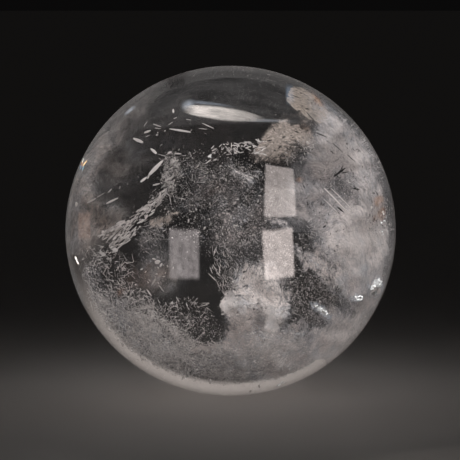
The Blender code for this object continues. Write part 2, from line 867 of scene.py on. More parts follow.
def laid_blades(
    name: str,
    sight: Sight,
    pattern: GrainPattern,
    blades: list[Blade],
    finish: Material,
    lamp: Vector | None = None,
) -> Object:
    """Lays plates in the ball where the photograph shows them, and joins them in one mesh.

    Args:
        name: The piece's name.
        sight: The photograph's view.
        pattern: The modelled plate.
        blades: The plates.
        finish: Their material.
        lamp: The direction of a lamp that the plates mirror to the viewer, for plates that sparkle.

    Returns:
        The new piece.
    """
    x, y, long, wide, angle, tone, depth, roll = (
        np.array([getattr(b, f) for b in blades], float)
        for f in ("x", "y", "long", "wide", "angle", "tone", "depth", "roll")
    )
    turns, pixel = sight.plate_turns(x, y, depth, angle)
    if lamp is not None:
        turns = sight.glint_turns(x, y, lamp, angle)
    tilt = np.radians(roll)
    rolled = np.zeros_like(turns)
    rolled[:, 0, 0] = 1
    rolled[:, 1, 1] = rolled[:, 2, 2] = np.cos(tilt)
    rolled[:, 2, 1] = np.sin(tilt)
    rolled[:, 1, 2] = -np.sin(tilt)
    sizes = np.stack((long * pixel, wide * pixel, np.maximum(THICKNESS * wide, THINNEST) * pixel), axis=1)
    places = sight.into_ball(x, y, depth)
    piece = joined_grains(name, pattern, places, turns @ rolled, sizes, tone)
    piece.data.materials.append(finish)
    return piece


@dataclass(frozen=True)
class Burst:
    """A cluster of small crack walls that sparkle side by side.

    Attributes:
        oval: Where it lies.
        count: How many walls it has.
        size: The smallest and the largest wall, in pixels.
        seed: Makes this burst differ from others.
    """

    oval: Oval
    count: int
    size: tuple[float, float]
    seed: int = 1

    WIDTHS = (0.3, 0.8)
    ROLLED = 3.5  # how many degrees its walls lie off the lamp's mirror angle

    def walls(self) -> list[Blade]:
        """Scatters the walls, most of them small.

        Returns:
            The walls.
        """
        rng = np.random.default_rng(self.seed)
        made = []
        for x, y, depth in zip(*self.oval.draw(rng, self.count)):
            long = self.size[0] + (self.size[1] - self.size[0]) * rng.random() ** 2
            wide = long * rng.uniform(*self.WIDTHS)
            angle, roll = rng.uniform(0, 180), rng.normal(0, self.ROLLED)
            made.append(Blade(x, y, long, wide, angle, depth=depth, roll=roll))
        return made


@dataclass(frozen=True)
class Feather:
    """A feather-shaped healed crack: long flakes side by side along a line of the photograph.

    Attributes:
        name: The piece's name.
        start: The feather's narrow end in the photograph, in pixels.
        end: Its wide end.
        widths: Half its width in pixels at its start, middle and end.
        bow: How far its middle is bowed to the upper left, in pixels.
        count: How many flakes.
        length: The shortest and longest flake, in pixels.
        width: The narrowest and widest flake, in pixels.
        depth: How deep its start and its end lie.
        spread: How many degrees its flakes turn from its line.
        seed: Makes this feather differ from others.
    """

    name: str
    start: tuple[float, float]
    end: tuple[float, float]
    widths: tuple[float, float, float]
    bow: float = 0.0
    count: int = 200
    length: tuple[float, float] = (4.0, 14.0)
    width: tuple[float, float] = (0.8, 2.4)
    depth: tuple[float, float] = (0.3, 0.2)
    spread: float = 7.0
    seed: int = 1

    TO_THE_END = 0.8  # below 1, more of the flakes lie near the wide end
    RAGGED = (0.7, 1.15)
    SHORTER = 0.4  # how much shorter the flakes are at the start
    TONES = (0.4, 1.0)
    DEPTH_SCATTER = 0.008
    ROLL_SCATTER = 16

    def flakes(self) -> list[Blade]:
        """Lays the flakes out along the feather, in staggered rows with thin dark gaps.

        Returns:
            The flakes.
        """
        rng = np.random.default_rng(self.seed)
        (ax, ay), (bx, by) = self.start, self.end
        reach = math.hypot(bx - ax, by - ay)
        run, drop = (bx - ax) / reach, (by - ay) / reach
        angle = math.degrees(math.atan2(-(by - ay), bx - ax)) % 180
        made = []
        for _ in range(self.count):
            t = rng.random() ** self.TO_THE_END
            half = np.interp(t, (0, 0.5, 1), self.widths)
            side = rng.uniform(-1, 1) * half * rng.uniform(*self.RAGGED)
            bow = -self.bow * 4 * t * (1 - t)
            x = ax + run * reach * t + drop * (side + bow)
            y = ay + drop * reach * t - run * (side + bow)
            middle_depth = self.depth[0] + (self.depth[1] - self.depth[0]) * t
            made.append(
                Blade(
                    x,
                    y,
                    long=rng.uniform(*self.length) * (1 - self.SHORTER + self.SHORTER * t),
                    wide=rng.uniform(*self.width),
                    angle=angle + rng.normal(0, self.spread),
                    tone=rng.uniform(*self.TONES),
                    depth=middle_depth + rng.normal(0, self.DEPTH_SCATTER),
                    roll=rng.normal(0, self.ROLL_SCATTER),
                )
            )
        return made


@dataclass(frozen=True)
class Veil:
    """A milky veil: thin curved sheets of haze, one behind the other.

    Each sheet's attribute "haze" says how dense it is from place to place, and its material breaks
    that up into wisps.

    Attributes:
        name: The piece's name.
        finish: The veil's material.
        ovals: Where it lies.
        sheets: How many sheets.
        apart: How much deeper each sheet lies than the last.
        wave: How much depth its folds take up.
        seed: Makes this veil differ from the others.
        step: The size of its sheets' faces in pixels.
        warp: How far its outline wanders from its ovals, in pixels.
        warp_size: The size of the outline's largest bends, in pixels.
        rim_loss: The share of its haze that is missing at the ball's rim.
    """

    name: str
    finish: HazeFinish
    ovals: tuple[Oval, ...]
    sheets: int = 3
    apart: float = 0.1
    wave: float = 0.12
    seed: int = 1
    step: float = 3.5
    warp: float = 16.0
    warp_size: float = 30.0
    rim_loss: float = 0.0

    REACH = 1.9  # how far its sheets go beyond its ovals' own size
    FOLD = 45.0  # the size of its folds in pixels
    RIM_STRIP = (0.93, 0.97)  # where the rim's loss of haze starts and is complete
    FAINTEST = 0.04
    RIM = 0.992
    DEPTHS = (0.02, 0.98)

    def _sheet(self, sight: Sight, number: int) -> Object:
        """Models one sheet.

        Args:
            sight: The photograph's view.
            number: Which sheet it is, from 0.

        Returns:
            The sheet.
        """
        sides = [(o.x, o.y, self.REACH * max(o.wide, o.high)) for o in self.ovals]
        low_x, high_x = min(x - r for x, _, r in sides), max(x + r for x, _, r in sides)
        low_y, high_y = min(y - r for _, y, r in sides), max(y + r for _, y, r in sides)
        across, down = int((high_x - low_x) / self.step), int((high_y - low_y) / self.step)
        bpy.ops.object.select_all(action="DESELECT")
        bpy.ops.mesh.primitive_grid_add(x_subdivisions=across, y_subdivisions=down, size=1.0)
        sheet = bpy.context.object
        flat = np.array([v.co for v in sheet.data.vertices])
        x = low_x + (high_x - low_x) * (flat[:, 0] + 0.5)
        y = low_y + (high_y - low_y) * (0.5 - flat[:, 1])
        bent_x, bent_y = self._wandered(x, y, number)
        covers = np.array([o.cover(bent_x, bent_y) for o in self.ovals])
        shares = np.array([o.share for o in self.ovals])[:, None]
        haze = 1 - np.prod(1 - shares * covers, axis=0)
        depths = np.array([o.depth for o in self.ovals])[:, None]
        depth = (covers * depths).sum(0) / (covers.sum(0) + 1e-9)
        folds = CloudNoise(self.seed + number)
        steps = np.stack((x / self.FOLD, y / self.FOLD, np.full_like(x, 3.7 * number)), axis=1)
        depth += (number - (self.sheets - 1) / 2) * self.apart
        depth += self.wave * (folds.layered(steps, 3) - 0.5) * 2
        haze *= sight.clear_of_crescent(x, y)
        reach = np.hypot(x - sight.ball_x, y - sight.ball_y) / sight.ball_radius
        haze *= 1 - self.rim_loss * np.interp(reach, self.RIM_STRIP, (0, 1))
        inward = np.minimum(1.0, self.RIM / np.maximum(reach, 1e-6))
        places = sight.into_ball(
            sight.ball_x + (x - sight.ball_x) * inward,
            sight.ball_y + (y - sight.ball_y) * inward,
            np.clip(depth, *self.DEPTHS),
        )
        sheet.data.vertices.foreach_set("co", places.astype(np.float32).ravel())
        stored = sheet.data.attributes.new("haze", "FLOAT", "POINT")
        stored.data.foreach_set("value", haze.astype(np.float32))
        beyond = reach > self.RIM + 1.5 * self.step / sight.ball_radius
        self._trim(sheet, (haze < self.FAINTEST) | beyond)
        return sheet

    def _wandered(self, x: np.ndarray, y: np.ndarray, number: int) -> tuple[np.ndarray, np.ndarray]:
        """Shifts pixels by noise, so that the ovals' outlines wander as a torn cloud's do.

        Args:
            x: Pixels from the left of the photograph.
            y: Pixels from its top.
            number: Which sheet it is for.

        Returns:
            The shifted pixels.
        """
        bends = CloudNoise(self.seed + 100 + number)
        steps = np.stack((x, y, np.full_like(x, 61.0 * number)), axis=1) / self.warp_size
        shifts = [(bends.layered(steps + 11 * side, 5) - 0.5) * 2 * self.warp for side in (0, 1)]
        return x + shifts[0], y + shifts[1]

    def _trim(self, sheet: Object, clear: np.ndarray) -> None:
        """Deletes the part of a sheet that holds no haze.

        Args:
            sheet: The sheet.
            clear: True for each vertex without haze.
        """
        bpy.ops.object.mode_set(mode="EDIT")
        bpy.ops.mesh.select_mode(type="VERT")
        bpy.ops.mesh.select_all(action="DESELECT")
        bpy.ops.object.mode_set(mode="OBJECT")
        sheet.data.vertices.foreach_set("select", clear)
        bpy.ops.object.mode_set(mode="EDIT")
        bpy.ops.mesh.delete(type="VERT")
        bpy.ops.object.mode_set(mode="OBJECT")

    def build(self, sight: Sight) -> Object:
        """Models the veil's sheets, joins them and dresses them.

        Args:
            sight: The photograph's view.

        Returns:
            The new piece.
        """
        made = [self._sheet(sight, number) for number in range(self.sheets)]
        bpy.ops.object.select_all(action="DESELECT")
        for sheet in made:
            sheet.select_set(True)
        bpy.context.view_layer.objects.active = made[0]
        if len(made) > 1:
            bpy.ops.object.join()
        piece = bpy.context.object
        piece.name = piece.data.name = self.name
        bpy.ops.object.shade_smooth()
        piece.data.materials.append(self.finish.material())
        return piece


@dataclass(frozen=True)
class RockCrystal:
    """Rock crystal, clear quartz, ground round and polished with fine oxide.

    It is colourless, bends light more than window glass, and has a mirror polish in which the lights
    show sharp. Haze that is too fine to see takes a little of the light that crosses the ball. Where it
    faces the eye, the polish mirrors more than bare quartz does, so that dimmer lights give the same
    windows with less grain in them.
    """

    colour: str = "#FFFFFF"
    roughness: float = 0.0
    haze_colour: str = "#E8E2E0"
    haze_per_metre: float = 5.0
    polish_ior: float = 1.8
    polish_ends: tuple[float, float] = (0.56, 0.36)

    def material(self) -> Material:
        """Makes the material, which absorbs light inside the ball.

        Returns:
            The material.
        """
        material, tree = empty_material("polished_rock_crystal")
        backfacing = add_node(tree, "ShaderNodeNewGeometry").outputs["Backfacing"]
        outside = worked_out(tree, "SUBTRACT", 1.0, backfacing)
        aslant = add_node(tree, "ShaderNodeLayerWeight", values={"Blend": 0.5}).outputs["Facing"]
        polish = worked_out(tree, "MULTIPLY", outside, ranged(tree, aslant, self.polish_ends))
        output = surfaced(
            tree,
            {
                "Base Color": linear(self.colour),
                "Roughness": self.roughness,
                "IOR": QUARTZ_IOR,
                "Transmission Weight": 1.0,
                "Coat IOR": self.polish_ior,
                "Coat Roughness": self.roughness,
            },
            {"Coat Weight": polish},
        )
        haze = add_node(
            tree,
            "ShaderNodeVolumeAbsorption",
            values={"Color": linear(self.haze_colour), "Density": self.haze_per_metre},
        )
        tree.links.new(haze.outputs["Volume"], output.inputs["Volume"])
        return material


@dataclass(frozen=True)
class GrainFinish:
    """Milky quartz in solid grains: white, dull and a little warm, with some grains greyer.

    The tone that each grain carries and a soft mottle mix its two colours.
    """

    name: str
    bright: str = "#F5EEEB"
    dull: str = "#6F6A68"
    mottle_mm: float = 3.0
    roughness: float = 0.5

    MOTTLE = 0.5  # how strongly the mottle counts against the tone
    MIXED = (0.25, 1.2)  # the sums of both that give its dull and its bright colour

    def material(self) -> Material:
        """Makes the material.

        Returns:
            The material.
        """
        material, tree = empty_material(self.name)
        place = add_node(tree, "ShaderNodeTexCoord").outputs["Object"]
        mottle = noise(tree, place, 1 / (self.mottle_mm * MM), 3.0, 0.6).outputs["Fac"]
        tone = add_node(tree, "ShaderNodeAttribute", {"attribute_name": "tone"}).outputs["Fac"]
        mixed = worked_out(tree, "MULTIPLY_ADD", mottle, self.MOTTLE, tone)
        colour = blended(tree, ranged(tree, mixed, self.MIXED, smooth=False), self.dull, self.bright)
        surfaced(tree, {"Roughness": self.roughness}, {"Base Color": colour})
        return material


@dataclass(frozen=True)
class AirGapFinish:
    """The walls of an open crack, which mirror light inside the crystal as bare metal would.

    Turned to a lamp a metallic wall sparkles white. A near-black wall without metal doesn't mirror:
    its colour is a painted dark reflection, the dark line that a crack turned away from the lamps shows.
    """

    name: str
    colour: str
    metallic: float
    roughness: float

    UNEVEN_MM = 1.5
    DARKENED = 0.5  # how strongly the unevenness shows in its colour
    ROUGHNESSES = (0.7, 1.3)  # how far its roughness varies

    def material(self) -> Material:
        """Makes the material, whose colour and polish vary a little from wall to wall.

        Returns:
            The material.
        """
        material, tree = empty_material(self.name)
        place = add_node(tree, "ShaderNodeTexCoord").outputs["Object"]
        uneven = noise(tree, place, 1 / (self.UNEVEN_MM * MM), 3.0).outputs["Fac"]
        colour = add_node(
            tree,
            "ShaderNodeMix",
            {"data_type": "RGBA", "blend_type": "MULTIPLY"},
            {0: self.DARKENED, 6: linear(self.colour)},
            {7: uneven},
        )
        least, most = (share * self.roughness for share in self.ROUGHNESSES)
        rough = ranged(tree, uneven, (0.0, 1.0), (least, most), smooth=False)
        surfaced(tree, {"Metallic": self.metallic}, {"Base Color": colour.outputs[2], "Roughness": rough})
        return material


@dataclass(frozen=True)
class InterferenceFinish:
    """A crack whose film of air is as thin as light's own waves, so that it shows their colours."""

    name: str
    colours: tuple[str, ...] = ("#5E9BD6", "#9FD0E8", "#F6F4EA", "#F5C98A", "#E08A4E")
    roughness: float = 0.3

    def material(self) -> Material:
        """Makes the material, whose colour follows each plate's tone.

        Returns:
            The material.
        """
        material, tree = empty_material(self.name)
        tone = add_node(tree, "ShaderNodeAttribute", {"attribute_name": "tone"})
        ramp = add_node(tree, "ShaderNodeValToRGB", links={"Fac": tone.outputs["Fac"]})
        last = len(self.colours) - 1
        ramp.color_ramp.elements[0].color = linear(self.colours[0])
        ramp.color_ramp.elements[1].color = linear(self.colours[last])
        for step in range(1, last):
            ramp.color_ramp.elements.new(step / last).color = linear(self.colours[step])
        surfaced(tree, {"Roughness": self.roughness, "Metallic": 1.0}, {"Base Color": ramp.outputs["Color"]})
        return material


@dataclass(frozen=True)
class HazeFinish:
    """Milky haze of a healed crack: bubbles too fine to see, which scatter light as smoke does.

    It is see-through by its own alpha, which the sheet's attribute "haze" sets and noise breaks up
    into wisps. It is bluish where it is thin and warm where it is thick.

    Attributes:
        name: The material's name.
        thick: The colour of thick haze.
        thin: The colour of thin haze.
        wisp_mm: The size of its wisps.
        streak: How many times longer than wide the wisps are.
        along: Degrees that the wisps rise to the right, as the viewer sees them.
        grain_mm: The size of its fine grain.
        ragged: How strongly noise shapes its edge.
        edge: The haze at which it starts to show, and at which it is as thick as it gets.
        opacity: How dense it is where it is thickest.
        grainy: How strongly its fine grain shows.
        threads: How dense the fine threads in it are.
        thread_mm: The size of the loops that the threads make.
        flakes: How dense the small flakes in it are.
        flake_mm: How wide a flake is.
        sparse: The share of the flakes that is left out.
        tint: The colour of its cool patches.
        tinted: How strongly they show.
        roughness: How rough its surface is.
    """

    name: str
    thick: str = "#EFE4E1"
    thin: str = "#C9CBD0"
    wisp_mm: float = 5.0
    streak: float = 1.6
    along: float = 35.0
    grain_mm: float = 0.35
    ragged: float = 0.75
    edge: tuple[float, float] = (0.2, 1.0)
    opacity: float = 0.5
    grainy: float = 0.35
    threads: float = 0.0
    thread_mm: float = 1.3
    flakes: float = 0.0
    flake_mm: float = 0.42
    sparse: float = 0.62
    tint: str = "#AEB9C4"
    tinted: float = 0.5
    roughness: float = 0.8

    FLAKE_TURNS = (-50.0, 20.0, 75.0)
    FLAKE_LONG = 3.4
    FLAKE_EDGE = (0.52, 0.36)
    FLAKES_BENT = (0.4, 0.9)  # the bends' fineness and their size, against a flake's width
    THREAD_EDGE = (0.028, 0.004)
    THREAD_BREAKS = (0.46, 0.56)
    WISPS = (0.33, 0.67)  # the noise between gaps and the thickest wisps
    GRAINS = (0.35, 0.65)
    MARKED = (0.1, 0.5)  # the haze at which threads and flakes start to show, and show fully
    PATCH_MM = 8.0
    PATCHES = (0.45, 0.65)

    def _flakes(self, tree: NodeTree, vector: NodeSocket) -> NodeSocket:
        """Draws small angular flakes that lie three ways: a few bright, most dim.

        Args:
            tree: The material's node tree.
            vector: The place that the flakes are drawn at.

        Returns:
            A value from 0 off the flakes to 1 on the brightest.
        """
        per_flake = 1 / (self.flake_mm * MM)
        fineness, size = self.FLAKES_BENT
        bend = noise(tree, vector, fineness * per_flake, 2.0)
        bent = add_node(
            tree,
            "ShaderNodeVectorMath",
            {"operation": "MULTIPLY_ADD"},
            {1: (size / per_flake,) * 3},
            {0: bend.outputs["Color"], 2: vector},
        )
        brightest: float | NodeSocket = 0.0
        for turn in self.FLAKE_TURNS:
            laid = add_node(
                tree,
                "ShaderNodeMapping",
                {"vector_type": "TEXTURE"},
                {"Rotation": (0.0, math.radians(-turn), 0.0), "Scale": (self.FLAKE_LONG, 1.0, 1.0)},
                {"Vector": bent.outputs["Vector"]},
            )
            cells = add_node(
                tree,
                "ShaderNodeTexVoronoi",
                values={"Scale": per_flake},
                links={"Vector": laid.outputs["Vector"]},
            )
            chance = add_node(tree, "ShaderNodeSeparateXYZ", links={0: cells.outputs["Color"]})
            picked = ranged(tree, chance.outputs["X"], (self.sparse, 1.0), smooth=False)
            face = ranged(tree, cells.outputs["Distance"], self.FLAKE_EDGE, smooth=False)
            flake = worked_out(tree, "MULTIPLY", picked, face)
            brightest = worked_out(tree, "MAXIMUM", brightest, flake)
        return brightest

    def _threads(self, tree: NodeTree, vector: NodeSocket) -> NodeSocket:
        """Draws broken threads along the lines on which smooth noise crosses its middle value.

        Args:
            tree: The material's node tree.
            vector: The place that the threads are drawn at.

        Returns:
            A value that is 1 on a thread and 0 off it.
        """
        loops = noise(tree, vector, 1 / (self.thread_mm * MM), 2.0, 0.55, 0.8)
        axes = add_node(tree, "ShaderNodeSeparateXYZ", links={0: loops.outputs["Color"]})
        away = [
            worked_out(tree, "ABSOLUTE", worked_out(tree, "SUBTRACT", axes.outputs[axis], 0.5))
            for axis in ("X", "Y")
        ]
        line = ranged(tree, worked_out(tree, "MINIMUM", *away), self.THREAD_EDGE, smooth=False)
        broken = ranged(tree, axes.outputs["Z"], self.THREAD_BREAKS)
        return worked_out(tree, "MULTIPLY", line, broken)

    def material(self) -> Material:
        """Makes the material.

        Returns:
            The material.
        """
        material, tree = empty_material(self.name)
        place = add_node(tree, "ShaderNodeTexCoord").outputs["Object"]
        drawn = add_node(
            tree,
            "ShaderNodeMapping",
            {"vector_type": "TEXTURE"},
            {"Rotation": (0.0, math.radians(-self.along), 0.0), "Scale": (self.streak, 1.0, 1.0)},
            {"Vector": place},
        ).outputs["Vector"]
        wisps, grain, patches = (
            noise(tree, vector, 1 / (size * MM), detail, 0.7, 0.5).outputs["Fac"]
            for size, detail, vector in (
                (self.wisp_mm, 6.0, drawn),
                (self.grain_mm, 3.0, drawn),
                (self.PATCH_MM, 3.0, place),
            )
        )
        haze = add_node(tree, "ShaderNodeAttribute", {"attribute_name": "haze"}).outputs["Fac"]
        torn = ranged(tree, wisps, self.WISPS, (1 - self.ragged, 1 + self.ragged), smooth=False)
        shaped = worked_out(tree, "MULTIPLY", haze, torn)
        density = ranged(tree, shaped, self.edge)
        thinnest = self.opacity * (1 - self.grainy)
        fine = ranged(tree, grain, self.GRAINS, (thinnest, self.opacity), smooth=False)
        alpha, shade = worked_out(tree, "MULTIPLY", density, fine), density
        for strength, draw in ((self.threads, self._threads), (self.flakes, self._flakes)):
            if strength > 0:
                there = ranged(tree, shaped, self.MARKED, (0.0, strength))
                marks = worked_out(tree, "MULTIPLY", draw(tree, drawn), there)
                alpha = worked_out(tree, "ADD", alpha, marks, clamp=True)
                shade = worked_out(tree, "ADD", shade, marks, clamp=True)
        cool = ranged(tree, patches, self.PATCHES, (0.0, self.tinted))
        colour = blended(tree, cool, blended(tree, shade, self.thin, self.thick), self.tint)
        values = {"Roughness": self.roughness, "Specular IOR Level": 0.0}
        surfaced(tree, values, {"Base Color": colour, "Alpha": alpha})
        return material


class CrystalBall:
    """The clear ball itself, finely meshed, with the flat that it stands on."""

    MERIDIANS = 256
    PARALLELS = 128
    SHARPEST = 5  # degrees between faces, above which an edge stays sharp

    def __init__(self, shape: BallShape, finish: RockCrystal) -> None:
        """Keeps what the ball is made from.

        Args:
            shape: Its size and place.
            finish: Its material.
        """
        self.shape = shape
        self.finish = finish

    def build(self) -> Object:
        """Models the ball, grinds its flat and dresses it.

        Returns:
            The new piece.
        """
        bpy.ops.object.select_all(action="DESELECT")
        bpy.ops.mesh.primitive_uv_sphere_add(
            segments=self.MERIDIANS,
            ring_count=self.PARALLELS,
            radius=self.shape.radius,
            location=self.shape.centre,
        )
        piece = bpy.context.object
        piece.name = piece.data.name = "crystal_ball"
        bpy.ops.object.transform_apply(location=True, rotation=True, scale=True)
        bpy.ops.object.mode_set(mode="EDIT")
        bpy.ops.mesh.select_all(action="SELECT")
        bpy.ops.mesh.bisect(plane_co=(0, 0, 0), plane_no=(0, 0, 1), use_fill=True, clear_inner=True)
        bpy.ops.object.mode_set(mode="OBJECT")
        bpy.ops.object.shade_smooth_by_angle(angle=math.radians(self.SHARPEST))
        piece.data.materials.append(self.finish.material())
        piece.visible_shadow = False
        return piece


class Through(Enum):
    """How the ball shows a light card: mirrored on its surface, or bent through it."""

    MIRRORED = "mirrored"
    BENT = "bent"


def glowing(tree: NodeTree, face: NodeSocket, strength: float | NodeSocket, colour: str) -> None:
    """Ends a card's material: it glows on its face and is see-through beside it.

    Args:
        tree: The material's node tree.
        face: From 0 beside the card's face to 1 on it.
        strength: How bright it glows, as a number or a socket.
        colour: The colour of the glow, as hex.
    """
    lit = worked_out(tree, "MULTIPLY", strength, 1.0)
    glow = add_node(tree, "ShaderNodeEmission", values={"Color": linear(colour)}, links={"Strength": lit})
    clear = add_node(tree, "ShaderNodeBsdfTransparent")
    mixed = add_node(tree, "ShaderNodeMixShader", links={0: face, 1: clear.outputs[0], 2: glow.outputs[0]})
    add_node(tree, "ShaderNodeOutputMaterial", links={"Surface": mixed.outputs[0]})


class BallCard:
    """A curved glowing card that only the ball shows, mirrored on its surface or bent through it.

    Each kind of card has a name, says how the ball shows it, and gives its points and its material.
    """

    name: str
    through: Through
    STEPS: tuple[int, int]

    def _sheet(self, sight: Sight, u: np.ndarray, v: np.ndarray) -> np.ndarray:
        """Places the card's points.

        Args:
            sight: The photograph's view.
            u: From 0 at the card's start to 1 at its end.
            v: From 0 at its top or outer edge to 1 at the other.

        Returns:
            One point a row, in metres.
        """
        raise NotImplementedError

    def _finish(self) -> Material:
        """Makes the glowing material."""
        raise NotImplementedError

    def build(self, sight: Sight) -> Object:
        """Hangs the card where the ball shows it, and lets nothing else see it.

        Args:
            sight: The photograph's view.

        Returns:
            The card.
        """
        bpy.ops.object.select_all(action="DESELECT")
        bpy.ops.mesh.primitive_grid_add(x_subdivisions=self.STEPS[0], y_subdivisions=self.STEPS[1], size=1.0)
        card = bpy.context.object
        card.name = card.data.name = self.name
        flat = np.array([v.co for v in card.data.vertices])
        placed = self._sheet(sight, flat[:, 0] + 0.5, 0.5 - flat[:, 1])
        card.data.vertices.foreach_set("co", placed.astype(np.float32).ravel())
        card.data.update()
        finish = self._finish()
        finish.cycles.emission_sampling = "NONE"
        card.data.materials.append(finish)
        card.visible_camera = card.visible_diffuse = card.visible_shadow = False
        card.visible_glossy = self.through is Through.MIRRORED
        card.visible_transmission = self.through is Through.BENT
        return card


@dataclass(frozen=True)
class LightCard(BallCard):
    """A glowing card that the ball shows at a given place in the photograph.

    Each of its points lies on the ray that the ball sends to it.

    Attributes:
        name: What the card is called.
        through: Whether the ball mirrors it or bends its light.
        corners: Upper left, upper right, lower right and lower left in the photograph, in pixels.
        glow: How bright it is.
        colour: Its colour.
        bow: How far its upper and its lower edge are bowed up, in pixels.
        soft: The share of its width and height over which its edges fade.
        fade: How much its right end is dimmed, from 0 to 1.
        reach: How far from the ball's surface it hangs, in metres.
        uneven: How much its glow varies over its face.
        ripple: How much its edges wander, as a share of its size.
    """

    name: str
    through: Through
    corners: tuple[tuple[float, float], ...]
    glow: float
    colour: str = "#FFF5EE"
    bow: tuple[float, float] = (0.0, 0.0)
    soft: float = 0.05
    fade: float = 0.0
    reach: float = 0.045
    uneven: float = 0.14
    ripple: float = 0.05

    STEPS = (24, 24)
    RIPPLES = 6.0  # how many there are across the card
    VEINED = (0.35, 0.65)  # the noise that gives its dimmest and its brightest glow

    def _sheet(self, sight: Sight, u: np.ndarray, v: np.ndarray) -> np.ndarray:
        """Places the card's points between its corners.

        Args:
            sight: The photograph's view.
            u: From 0 at the card's left to 1 at its right.
            v: From 0 at its top to 1 at its bottom.

        Returns:
            One point a row, in metres.
        """
        (ax, ay), (bx, by), (cx, cy), (dx, dy) = self.corners
        arch = 4 * u * (1 - u)
        top_x, top_y = ax + (bx - ax) * u, ay + (by - ay) * u - arch * self.bow[0]
        low_x, low_y = dx + (cx - dx) * u, dy + (cy - dy) * u - arch * self.bow[1]
        x, y = top_x + (low_x - top_x) * v, top_y + (low_y - top_y) * v
        return sight.seen_in_ball(x, y, self.through, self.reach)

    def _finish(self) -> Material:
        """Makes the glowing material, whose edges fade and whose face is a little uneven.

        Returns:
            The material.
        """
        material, tree = empty_material(self.name)
        place = add_node(tree, "ShaderNodeUVMap", {"uv_map": "UVMap"}).outputs["UV"]
        ripple = noise(tree, place, self.RIPPLES, 4.0, 0.6)
        shifted = add_node(
            tree,
            "ShaderNodeVectorMath",
            {"operation": "MULTIPLY_ADD"},
            {1: (self.ripple,) * 3},
            {0: ripple.outputs["Color"], 2: place},
        )
        centred = add_node(
            tree,
            "ShaderNodeVectorMath",
            {"operation": "SUBTRACT"},
            {1: (0.5 * self.ripple,) * 3},
            {0: shifted.outputs["Vector"]},
        )
        axes = add_node(tree, "ShaderNodeSeparateXYZ", links={0: centred.outputs["Vector"]})
        fades = []
        for axis in ("X", "Y"):
            away = worked_out(tree, "ABSOLUTE", worked_out(tree, "SUBTRACT", axes.outputs[axis], 0.5))
            fades.append(ranged(tree, away, (0.5, 0.5 - self.soft)))
        glows = (self.glow, self.glow * (1 - self.fade))
        dimming = ranged(tree, axes.outputs["X"], (0.0, 1.0), glows, smooth=False)
        veins = (1 - self.uneven, 1 + self.uneven)
        veined = ranged(tree, ripple.outputs["Fac"], self.VEINED, veins, smooth=False)
        strength = worked_out(tree, "MULTIPLY", dimming, veined)
        glowing(tree, worked_out(tree, "MULTIPLY", *fades), strength, self.colour)
        return material


@dataclass(frozen=True)
class RimGlow(BallCard):
    """A pale arch whose light the ball bends or mirrors into a crescent along its rim.

    Attributes:
        name: What the arch is called.
        inner: Where the crescent starts, as a share of the ball's radius.
        first: Where it starts, in degrees clockwise from the bottom as the viewer sees it.
        last: Where it ends.
        glow: How bright it is.
        heights: Its brightness from its start to its end, as pairs of a place and a share.
        soft: The share of its width over which its inner edge fades.
        reach: How far from the ball the arch stands, in metres.
        colour: Its colour.
        through: Whether the ball mirrors the arch or bends its light.
    """

    name: str
    inner: float
    first: float
    last: float
    glow: float
    heights: tuple[tuple[float, float], ...]
    soft: float = 0.4
    reach: float = 0.35
    colour: str = "#FFF3EC"
    through: Through = Through.BENT

    STEPS = (96, 16)
    OUTER = 0.9985
    RIPPLES = 9.0
    RAGGED = 0.3
    INNER_EDGE = 0.15  # where its glow starts, as a share of its width

    def _sheet(self, sight: Sight, u: np.ndarray, v: np.ndarray) -> np.ndarray:
        """Places the arch's points along the rim.

        Args:
            sight: The photograph's view.
            u: From 0 at the arch's start to 1 at its end.
            v: From 0 at its outer edge to 1 at its inner one.

        Returns:
            One point a row, in metres.
        """
        angle = np.radians(self.first + (self.last - self.first) * u)
        reach = sight.ball_radius * (self.inner + (self.OUTER - self.inner) * (1 - v))
        x = sight.ball_x - reach * np.sin(angle)
        y = sight.ball_y + reach * np.cos(angle)
        return sight.seen_in_ball(x, y, self.through, self.reach)

    def _finish(self) -> Material:
        """Makes the glowing material, which fades at its inner edge and along its length.

        Returns:
            The material.
        """
        material, tree = empty_material(self.name)
        place = add_node(tree, "ShaderNodeUVMap", {"uv_map": "UVMap"}).outputs["UV"]
        axes = add_node(tree, "ShaderNodeSeparateXYZ", links={0: place})
        along = add_node(tree, "ShaderNodeFloatCurve", links={"Value": axes.outputs["X"]})
        curve = along.mapping.curves[0]
        curve.points[0].location = self.heights[0]
        curve.points[1].location = self.heights[-1]
        for knot in self.heights[1:-1]:
            curve.points.new(*knot)
        along.mapping.update()
        ripple = noise(tree, place, self.RIPPLES, 4.0).outputs["Fac"]
        shifted = worked_out(tree, "MULTIPLY_ADD", ripple, self.RAGGED, axes.outputs["Y"])
        edge = ranged(tree, shifted, (self.INNER_EDGE, self.INNER_EDGE + self.soft))
        glowing(tree, worked_out(tree, "MULTIPLY", along.outputs[0], edge), self.glow, self.colour)
        return material


